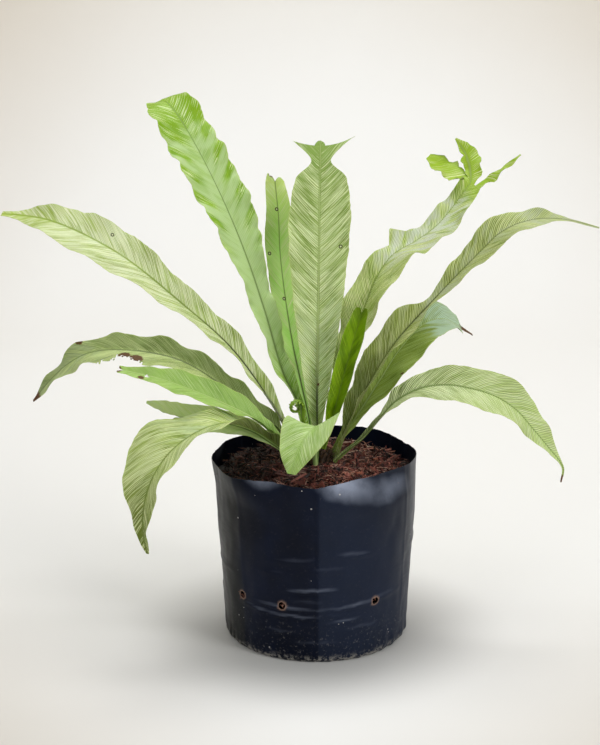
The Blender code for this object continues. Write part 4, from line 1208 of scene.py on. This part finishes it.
def make_chips(material):
    """Small chopped chips scattered over the bed, as one piece."""
    source = random.Random(5)
    points, faces, tint = [], [], []
    for _ in range(CHIP_COUNT):
        length = source.choice((1, 1, 1.3, 1.7)) * source.uniform(*CHIP_LENGTH)
        width = source.uniform(*CHIP_WIDTH)
        thickness = source.uniform(*CHIP_THICKNESS)
        size = Vector((1, width, thickness)) * length
        spot = scatter_spot(source, 0.0015 + 0.45 * length)
        spot.z = crumbly(spot.x, spot.y) + source.uniform(-0.0004, 0.0034)
        turn = Matrix.Rotation(source.uniform(0, 2 * pi), 3, "Z")
        turn = turn @ Matrix.Rotation(source.gauss(0, CHIP_TILT), 3, "Y")
        turn = turn @ Matrix.Rotation(source.uniform(0, pi), 3, "X")
        shape, sides = chip_shape(source, size)
        join(points, faces, [turn @ point + spot for point in shape], sides)
        tint += [source.random()] * len(shape)
    add_object("coir_chips", points, faces, material, 35, {"tint": tint})


def fibre_line(source, start, length, lift):
    """A curved hair of coir from a start point, as a list of points."""
    heading = source.uniform(0, 360)
    rise = source.uniform(-0.2, 0.5) * lift
    curl = source.uniform(-60, 60)
    line = [start]
    steps = 9
    for step in range(steps):
        share = step / steps
        forward = polar(1, heading + curl * share, rise * (1 - 1.6 * share))
        line.append(line[-1] + forward.normalized() * length / steps)
    return line


def tube(line, radii, sides):
    """Points and faces of a thin tube along a line."""
    points = []
    for index, spot in enumerate(line):
        ahead = line[min(index + 1, len(line) - 1)] - line[max(index - 1, 0)]
        side = ahead.cross(Vector((0.13, 0.29, 1))).normalized()
        other = ahead.cross(side).normalized()
        for step in range(sides):
            turn = 2 * pi * step / sides
            points.append(spot + (side * cos(turn) + other * sin(turn)) * radii[index])
    return points, ring_faces(len(line), sides)


def make_fibres(material):
    """Loose fibres on the bed, and a tuft of them in each drain hole."""
    source = random.Random(9)
    points, faces, tint = [], [], []

    def add(line, thick):
        radii = [thick * (0.35 + 0.65 * sin(pi * min(max(step / (len(line) - 1), 0.1), 0.92)))
                 for step in range(len(line))]
        shape, sides = tube(line, radii, 4)
        join(points, faces, shape, sides)
        tint.extend([source.uniform(0.3, 1.0)] * len(shape))

    for _ in range(FIBRE_COUNT):
        spot = scatter_spot(source, 0.010)
        spot.z = crumbly(spot.x, spot.y) + source.uniform(0.0, 0.0025)
        line = fibre_line(source, spot, source.uniform(*FIBRE_LENGTH), 1)
        add(line, source.uniform(*FIBRE_RADIUS))
    for angle in DRAIN_ANGLES:
        middle = polar(plain_bag_radius(angle, DRAIN_HEIGHT) - 0.0016, angle, DRAIN_HEIGHT)
        for _ in range(DRAIN_FIBRES):
            offset = Vector((source.uniform(-1, 1), source.uniform(-1, 1), source.uniform(-1, 1))) * 0.0024
            start = middle + offset
            end = start + Vector([source.uniform(-1, 1) for _ in range(3)]).normalized() * 0.0035
            end -= polar(1, angle) * max(0, (end - middle).dot(polar(1, angle)) - 0.0022)
            add([start.lerp(end, step / 4) for step in range(5)], DRAIN_FIBRE_RADIUS)
    add_object("coir_fibres", points, faces, material, 60, {"tint": tint})


def make_husk_chip(node, index, material):
    """A bigger husk chip in the place of its plain CAD solid, with a fibrous broken surface."""
    low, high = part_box(node)
    centre = (low + high) / 2
    size = high - low
    source = random.Random(40 + index)
    points = []
    around, rings = 14, 9
    for ring in range(rings + 1):
        share = ring / rings
        girth = sin(pi * between(0.07, 0.93, share)) ** 0.45
        for step in range(around):
            turn = 2 * pi * step / around
            ragged = 1 + 0.35 * drift(cos(turn) * 2 + index * 3, sin(turn) * 2, share * 3)
            points.append(centre + Vector(((share - 0.5) * size.x * 0.98,
                                           cos(turn) * girth * size.y * 0.42 * ragged,
                                           sin(turn) * girth * size.z * 0.42 * ragged)))
    faces = ring_faces(rings + 1, around)
    for _ in range(HUSK_FIBRES):
        start = centre + Vector((source.uniform(-0.4, 0.4) * size.x, source.uniform(-0.3, 0.3) * size.y,
                                 size.z * 0.2))
        line = fibre_line(source, start, source.uniform(0.3, 0.6) * size.x, 0.6)
        join(points, faces, *tube(line, [HUSK_FIBRE_RADIUS] * len(line), 4))
    tint = [source.uniform(0.45, 0.75)] * len(points)
    add_object(f"husk_{index:02d}", points, faces, material, 40, {"tint": tint}, node)


# ---------------------------------------------------------------- crown
SCALE_COUNT = 170
SCALE_HALF = 0.00015        # half a scale's thickness
SCALE_SHAPE = ((0, 1), (0.45, 0.85), (0.8, 0.4), (1, 0.08))     # (share of its length, share of its width)


def scale_points(source, seat):
    """One pointed papery scale on the rhizome, as rings of four points."""
    share = source.random()
    angle = source.uniform(0, 360)
    radius = CROWN_RADIUS * CROWN_SKIRT * sin(pi / 2 * (1 - share * 0.9)) ** 0.8
    foot = polar(radius * 0.96, angle, seat - 0.006 + (CROWN_RISE + 0.004) * sin(pi / 2 * share))
    up = polar(source.uniform(0.2, 0.9), angle + source.uniform(-25, 25), 1).normalized()
    side = polar(1, angle + 90)
    length, width = source.uniform(0.004, 0.009), source.uniform(0.0006, 0.0013)
    bend = polar(1, angle) * length * source.uniform(0.05, 0.3)
    away = polar(SCALE_HALF, angle)
    points = []
    for along, wide in SCALE_SHAPE:
        spot = foot + up * length * along + bend * along * along
        reach = side * width * wide
        points += [spot + reach + away, spot - reach + away, spot - reach - away, spot + reach - away]
    return points


def make_crown(material):
    """The rhizome's top: a lumpy dome wrapped in pointed papery scales."""
    seat = fill_level(0, 0)
    points = []
    rings, around = 12, 40
    for ring in range(rings + 1):
        share = ring / rings
        radius = CROWN_RADIUS * CROWN_SKIRT * sin(pi / 2 * (1 - share * 0.985)) ** 0.8
        height = seat - 0.010 + (CROWN_RISE + 0.010) * sin(pi / 2 * share)
        for step in range(around):
            angle = 360 * step / around
            lump = 1 + 0.1 * drift(cos(radians(angle)) * 3, sin(radians(angle)) * 3, share * 5)
            points.append(polar(radius * lump, angle, height))
    faces = ring_faces(rings + 1, around)
    tint = [0.2] * len(points)
    source = random.Random(21)
    for _ in range(SCALE_COUNT):
        shape = scale_points(source, seat)
        join(points, faces, shape, ring_faces(len(shape) // 4, 4))
        tint += [source.uniform(0.2, 1.0)] * len(shape)
    add_object("crown", points, faces, material, 45, {"tint": tint}, "rhizome_and_roots")


# ---------------------------------------------------------------- fronds
def crown_point():
    """The plant's middle, level with the coir there."""
    return Vector((0, 0, fill_level(0, 0)))


def smooth_line(points, per_span=12):
    """A smooth curve through the points, as Bezier spans with shared tangents."""
    line = []
    for index in range(len(points) - 1):
        before = points[max(index - 1, 0)]
        start, end = points[index], points[index + 1]
        after = points[min(index + 2, len(points) - 1)]
        span = (end - start).length
        leave = (end - before).normalized() * span / 3
        arrive = (after - start).normalized() * span / 3
        line += interpolate_bezier(start, start + leave, end - arrive, end, per_span + 1)[:-1]
    line.append(points[-1])
    return line


def evenly(line, count):
    """Positions and directions at equal steps along a polyline, with the directions evened out."""
    lengths = [0.0]
    for start, end in zip(line, line[1:]):
        lengths.append(lengths[-1] + (end - start).length)
    spots = []
    index = 0
    for step in range(count + 1):
        target = lengths[-1] * step / count
        while index < len(line) - 2 and lengths[index + 1] < target:
            index += 1
        start, end = line[index], line[index + 1]
        share = (target - lengths[index]) / (lengths[index + 1] - lengths[index])
        spots.append(start.lerp(end, share))
    made = []
    for step, spot in enumerate(spots):
        ahead = spots[min(step + 3, count)] - spots[max(step - 3, 0)]
        made.append((spot, ahead.normalized()))
    return made, lengths[-1]


def foot_point(ring, angle, extra):
    """Where a frond grows from: the top of the rhizome, or close beside it."""
    if ring == INNER:
        return crown_point() + polar(CROWN_RADIUS * INNER_RING, angle, CROWN_RISE + INNER_RISE + extra * MM)
    return crown_point() + polar(CROWN_RADIUS * CROWN_SKIRT + OUTER_GAP, angle, OUTER_RISE + extra * MM)


def frond_line(frond):
    """A smooth curve along a frond's midrib, from its foot to its tip."""
    crown = crown_point()
    points = [foot_point(*frond.foot)]
    leftwards = polar(1, frond.heading + 90)
    for out, up, *left in frond.path:
        points.append(crown + (polar(out, frond.heading, up) + leftwards * sum(left)) * MM)
    return smooth_line(points)


def column_reaches():
    """Places across a blade, from its left edge, 1, to its right, -1, closer together at the midrib."""
    steps = np.linspace(1, -1, 2 * SIDE_COLUMNS + 1)
    return np.sign(steps) * np.abs(steps) ** 1.35


def blade_axes(frond, share, along):
    """A blade's sideways and upward directions at a share of its length."""
    side = polar(1, frond.heading + 90)
    across = (side - along * side.dot(along)).normalized()
    face = along.cross(across)
    roll = radians(knots_at(frond.roll, share))
    return across * cos(roll) - face * sin(roll), face * cos(roll) + across * sin(roll)


def blade_row(frond, share, length, centre, along, seed, reaches):
    """One row of points across the blade, with each point's distance from the midrib in mm."""
    across, face = blade_axes(frond, share, along)
    fold = radians(knots_at(frond.fold, share))
    half = knots_at(frond.width, share)
    skew = knots_at(frond.skew, share)
    height, wave, phase = frond.ripple
    ease = min(1, half * MM / RIPPLE_WIDTH)
    run = share * length / MM
    pleat = PLEATS.get(frond.name, PLEAT)
    deepest = FRILLS.get(frond.name, FRILL)
    horns = HORNS.get(frond.name, (0, 0))
    lean = LEANS.get(frond.name, VEIN_LEAN)
    row, offsets = [], []
    for reach in reaches:
        left = reach > 0
        flank = 1 if left else 2
        ragged = 1 + 0.035 * drift(run / 13, flank * 9, seed) + 0.02 * drift(run / 4, flank * 9, seed + 4)
        out = half * reach * (1 + (skew if left else -skew)) * ragged
        if frond.name in SCALLOPS:
            pitch, depth = SCALLOPS[frond.name]
            bulge = abs(sin(pi * run / pitch + flank)) - 0.7
            out *= 1 + depth * bulge * abs(reach) * smooth(0.4, 0.6, share)
        if left and frond.name in EARS:
            place, depth, span = EARS[frond.name]
            out += depth * max(0, 1 - abs(share - place) / span) * reach ** 4
        size = abs(out)
        sway = sin(2 * pi * run / wave + phase + (1.9 if left else 0))
        frill = deepest * drift(run / 12, flank * 5, seed + 8) * abs(reach) ** 3 * ease
        vein = run - lean * size - VEIN_BEND * size * size
        ridge = pleat * sin(2 * pi * vein / PLEAT_WAVE) * min(1, size / 4) * (1 - 0.6 * abs(reach)) * ease
        hollow = (size * size + 2.2) ** 0.5 - 2.2 ** 0.5
        lift = hollow * sin(fold) + height * ease * reach * reach * sway + frill + ridge
        ahead = horns[0 if left else 1] * reach * reach * smooth(0.95, 1, share)
        row.append(centre + (across * out * cos(fold) + face * lift + along * ahead) * MM)
        offsets.append(out)
    return row, offsets, across, face


def lobe_rows(row, across, face, along, lobe, first, last, frill):
    """Rows of one tip lobe, which starts on part of the blade's last row."""
    start = row[first:last + 1]
    centre = (start[0] + start[-1]) / 2
    offsets = [(point - centre).dot(across) for point in start]
    lifts = [(point - centre).dot(face) for point in start]
    half = max(abs(offsets[0]), 0.001)
    step = lobe.length * MM / LOBE_ROWS
    rows = []
    aim = Matrix.Rotation(radians(lobe.aim), 3, face)
    along, across = aim @ along, aim @ across
    for index in range(1, LOBE_ROWS + 1):
        share = index / LOBE_ROWS
        turn = Matrix.Rotation(radians(lobe.turn / LOBE_ROWS), 3, face)
        along, across = turn @ along, turn @ across
        droop = Matrix.Rotation(radians(lobe.droop / LOBE_ROWS), 3, across)
        along, face = droop @ along, droop @ face
        centre = centre + along * step
        belly = lobe.belly * MM * sin(pi * share)
        size = (between(half, lobe.tip * MM, share ** 1.4) + belly) / half
        swell = frill * sin(pi * share) ** 0.5
        made = []
        for out, lift in zip(offsets, lifts):
            flank = 2 if out > 0 else 7
            edge = min(abs(out) / half, 1)
            ragged = 1 + swell * 0.55 * edge * drift(share * 7, flank, lobe.aim)
            curl = swell * 5 * MM * edge * edge * drift(share * 4.5, flank + 3, lobe.aim)
            made.append(centre + across * (out * size * ragged) + face * (lift * size + curl))
        rows.append(made)
    return rows


def frond_sheet(frond, seed):
    """The frond's middle surface: points, quads, and each point's fields and place on the map."""
    line = frond_line(frond)
    run = sum((end - start).length for start, end in zip(line, line[1:]))
    stations = int(run / MM / STATION)
    spots, length = evenly(line, stations)
    reaches = column_reaches()
    width = len(reaches)
    points, along, across, share_of, reach_of, places, faces = [], [], [], [], [], [], []
    total_rows = stations + (LOBE_ROWS if frond.lobes else 0)

    def note(row_index, run_mm, share, offsets, spots_across, first):
        for column, (offset, reach) in enumerate(zip(offsets, spots_across)):
            along.append(run_mm)
            across.append(offset)
            share_of.append(share)
            reach_of.append(reach)
            places.append((row_index / total_rows, (first + column) / (width - 1)))

    for index, (centre, ahead) in enumerate(spots):
        share = index / stations
        row, offsets, side, face = blade_row(frond, share, length, centre, ahead, seed, reaches)
        points += row
        note(index, share * length / MM, share, offsets, reaches, 0)
        for column in range(width - 1):
            if index:
                a = (index - 1) * width + column
                faces.append((a, a + 1, a + 1 + width, a + width))
    last_row = stations * width
    frill = LOBE_FRILLS.get(frond.name, LOBE_FRILL)
    for lobe in frond.lobes:
        first, last = (int(part / 4 * (width - 1)) for part in (lobe.first, lobe.last))
        previous = list(range(last_row + first, last_row + last + 1))
        for step, lobed in enumerate(lobe_rows(row, side, face, ahead, lobe, first, last, frill)):
            current = list(range(len(points), len(points) + len(lobed)))
            points += lobed
            share = 1 + 0.001 * step
            note(stations + step + 1, (length + (step + 1) * lobe.length * MM / LOBE_ROWS) / MM, share,
                 offsets[first:last + 1], reaches[first:last + 1], first)
            for column in range(len(lobed) - 1):
                faces.append((previous[column], previous[column + 1], current[column + 1], current[column]))
            previous = current
    fields = {"along": along, "across": across, "share": share_of, "reach": reach_of}
    fields = {name: np.array(values) for name, values in fields.items()}
    return points, faces, fields, np.array(places), length


def spot_place(fields, length, share, reach):
    """Where a spot is on a blade, in mm along and across, from its share of the local half width."""
    along = share * length / MM
    near = np.abs(fields["along"] - along) < 2 * STATION
    side = near & (fields["across"] * reach >= 0)
    local = np.abs(fields["across"][side]).max() if side.any() else 0
    return along, reach * local


def wear(look, fields, length):
    """How brown and dry each point is."""
    worn = np.zeros(len(fields["along"]))
    for share, reach, radius in look.worn:
        spot_along, spot_across = spot_place(fields, length, share, reach)
        off = np.hypot(fields["along"] - spot_along, fields["across"] - spot_across)
        worn = np.maximum(worn, np.clip(1.25 - off / radius, 0, 1))
    return worn


def bitten(look, fields, length, faces, seed):
    """The quads that are left when the bites are taken out."""
    keep = np.ones(len(faces), bool)
    along = fields["along"][faces].mean(1)
    across = fields["across"][faces].mean(1)
    for share, reach, radius in look.bites:
        spot_along, spot_across = spot_place(fields, length, share, reach)
        shift = along - spot_along, across - spot_across
        for index, (x, y) in enumerate(zip(*shift)):
            size = hypot(x, y)
            if size < radius * 1.6 and size < radius * (1 + 0.5 * drift(x / 2.2, y / 2.2, seed)):
                keep[index] = False
    return faces[keep]


def make_frond(frond, seed):
    """One frond: a thin closed blade with its midrib above and a keel below."""
    look = LOOKS[frond.name]
    points, faces, fields, places, length = frond_sheet(frond, seed)
    points = np.array([tuple(point) for point in points])
    faces = bitten(look, fields, length, np.array(faces), seed)
    fields["worn"] = wear(look, fields, length)
    out = np.abs(fields["across"])
    share = np.minimum(fields["share"], 1)
    stalk = np.clip(1 - share / STALK_SHARE, 0, 1) ** 1.2 * np.exp(-(out / STALK_HALF) ** 2)
    edge = 1 - 0.55 * np.abs(fields["reach"]) ** RIM_POWER
    ridge = np.exp(-(out / RIDGE_HALF) ** 2) * (0.42 * (1 - share) + 0.10)
    keel = np.exp(-(out / KEEL_HALF) ** 2) * ((1 - share) ** 1.5 + 0.16)
    above = (BLADE_HALF * edge + ridge + 0.5 * stalk) * MM
    below = (BLADE_HALF * edge + keel + 1.3 * stalk) * MM
    solid, every, doubled = thicken(points, faces, above, below, fields)
    spots = [spot_place(fields, length, share, reach) for share, reach in look.rings]
    material = leaf_material(frond.name, look, seed, spots)
    add_object(frond.name.replace("frond", "blade"), solid, every, material, 55, doubled,
               frond.name, sheet_map(faces, places))


def curl_line():
    """The coil's centre line with the size and the frill's width at each point."""
    foot = foot_point(INNER, CURL_HEADING + 22, 0)
    lean = polar(1, CURL_HEADING)
    top = crown_point() + lean * CURL_REACH + Vector((0, 0, CURL_RISE))
    bend = top - Vector((0, 0, CURL_RISE / 2))
    stem = interpolate_bezier(foot, foot.lerp(bend, 0.5), bend, top, 41)[:-1]
    line = [(spot, 1, smooth(0.35, 1, index / 40)) for index, spot in enumerate(stem)]
    centre = top + lean * CURL_RADIUS
    steps = 110
    for index in range(steps + 1):
        share = index / steps
        radius = CURL_RADIUS * between(1, 0.22, share)
        angle = pi - 2 * pi * CURL_TURNS * share
        spot = centre + lean * radius * cos(angle) + Vector((0, 0, radius * sin(angle)))
        line.append((spot, between(1, 0.30, share), 1 - 0.5 * share))
    return line, lean


def make_curl(material):
    """The coiled youngest frond: a grooved stem with two frilled margins that roll in with it."""
    line, lean = curl_line()
    normal = lean.cross(Vector((0, 0, 1)))
    sides = 30
    margins = (0, sides // 2)
    wing = {(middle + step) % sides: edge
            for middle in margins for step, edge in ((0, 1), (1, 0.5), (-1, 0.5))}
    points, shares = [], []
    for index, (spot, size, frill) in enumerate(line):
        ahead = (line[min(index + 1, len(line) - 1)][0] - line[max(index - 1, 0)][0]).normalized()
        other = ahead.cross(normal).normalized()
        for step in range(sides):
            turn = 2 * pi * step / sides
            girth = CURL_STEM / 2 * size * (1 - 0.28 * max(0, cos(turn - pi / 2)) ** 6)
            point = spot + (normal * cos(turn) + other * sin(turn)) * girth
            edge = wing.get(step, 0) * frill
            phase = 2 if 4 < step < sides - 4 else 0
            ruffle = sin(index * 0.9 + phase) + drift(index / 2.5, step, 5)
            point += normal * cos(turn) * edge * CURL_FRILL * MM * (1 + 0.35 * drift(index / 3, step, 9))
            point += other * edge * edge * CURL_RUFFLE * MM * ruffle
            points.append(point)
            shares.append(min(edge, 1))
    faces = ring_faces(len(line), sides)
    add_object("curled_frond", points, faces, material, 60, {"share": shares}, "crozier")


# ---------------------------------------------------------------- stage, light and camera
WORLD_COLOUR = (244, 244, 246)
WORLD_STRENGTH = 0.42
CAMERA_AWAY = 1.4           # from the plant's middle, towards the front
CAMERA_HEIGHT = 0.61765
CAMERA_PITCH = 14.25
CAMERA_TURN = 0.65
CAMERA_LENS = 72.43
SWEEP_DEPTH = 1.3           # from the plant back to where the floor starts to curve up
SWEEP_RADIUS = 0.8
SWEEP_STEPS = 16
WALL_HEIGHT = 5.0
STAGE_HALF = 20.0           # from the plant to the floor's sides and front


def make_stage():
    """One pale sheet: the floor, a wide curve, and the wall behind."""
    profile = [(-STAGE_HALF, 0.0), (SWEEP_DEPTH, 0.0)]
    for step in range(1, SWEEP_STEPS + 1):
        angle = pi / 2 * step / SWEEP_STEPS
        profile.append((SWEEP_DEPTH + SWEEP_RADIUS * sin(angle), SWEEP_RADIUS * (1 - cos(angle))))
    profile.append((SWEEP_DEPTH + SWEEP_RADIUS, WALL_HEIGHT))
    points = [(side, y, z) for y, z in profile for side in (-STAGE_HALF, STAGE_HALF)]
    faces = [(2 * row, 2 * row + 1, 2 * row + 3, 2 * row + 2) for row in range(len(profile) - 1)]
    mesh = bpy.data.meshes.new("sweep")
    mesh.from_pydata(points, [], faces)
    mesh.materials.append(backdrop_material())
    mesh.shade_smooth()
    sweep = bpy.data.objects.new("sweep", mesh)
    bpy.context.scene.collection.objects.link(sweep)


def soft_box(name, place, target, size, power):
    """A square lamp that faces a target."""
    light = bpy.data.lights.new(name, "AREA")
    light.size = size
    light.energy = power
    item = bpy.data.objects.new(name, light)
    item.location = place
    item.rotation_euler = (Vector(target) - Vector(place)).to_track_quat("-Z", "Y").to_euler()
    bpy.context.scene.collection.objects.link(item)


def make_lights():
    """Two soft lamps in front, one above, and a dim even sky."""
    soft_box("key", (1.85, -1.5, 1.35), (0, 0, 0.25), 0.9, 27)
    soft_box("left", (-1.9, -1.6, 1.6), (0, 0, 0.25), 1.5, 10)
    soft_box("top", (0.0, 0.55, 2.4), (0, 0, 0.1), 1.3, 31)
    world = bpy.data.worlds.new("studio")
    world.use_nodes = True
    background = world.node_tree.nodes["Background"]
    background.inputs["Color"].default_value = linear(WORLD_COLOUR)
    background.inputs["Strength"].default_value = WORLD_STRENGTH
    bpy.context.scene.world = world


def make_camera():
    """The camera, in front of the plant and looking slightly down."""
    camera = bpy.data.cameras.new("camera")
    camera.lens = CAMERA_LENS
    camera.sensor_width = 36
    item = bpy.data.objects.new("camera", camera)
    item.location = (0, -CAMERA_AWAY, CAMERA_HEIGHT)
    item.rotation_euler = (radians(90 - CAMERA_PITCH), 0, radians(CAMERA_TURN))
    bpy.context.scene.collection.objects.link(item)
    bpy.context.scene.camera = item


def main():
    """Builds the stage and every visible piece."""
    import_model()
    scene = bpy.context.scene
    scene.view_settings.view_transform = "Standard"
    make_camera()
    make_stage()
    make_lights()
    make_bag(film_material())
    make_medium(coir_material("coir_crumb", (8, 4, 3), (34, 16, 11), (74, 44, 34)))
    make_chips(coir_material("coir_chip", (16, 6, 4), (98, 38, 28), (176, 108, 92), (1, 1, 0.3)))
    make_fibres(coir_material("coir_fibre", (84, 44, 32), (172, 110, 88), (226, 192, 170), (1, 1, 0.2)))
    husk = coir_material("husk_chunk", (60, 26, 14), (136, 68, 42), (178, 112, 80), (0.3, 1, 1))
    for index in range(1, HUSK_COUNT + 1):
        make_husk_chip(f"husk_chip_{index:02d}", index, husk)
    make_crown(crown_material())
    for index, frond in enumerate(FRONDS):
        make_frond(frond, 3.7 * index + 1)
    make_curl(curl_material())


main()
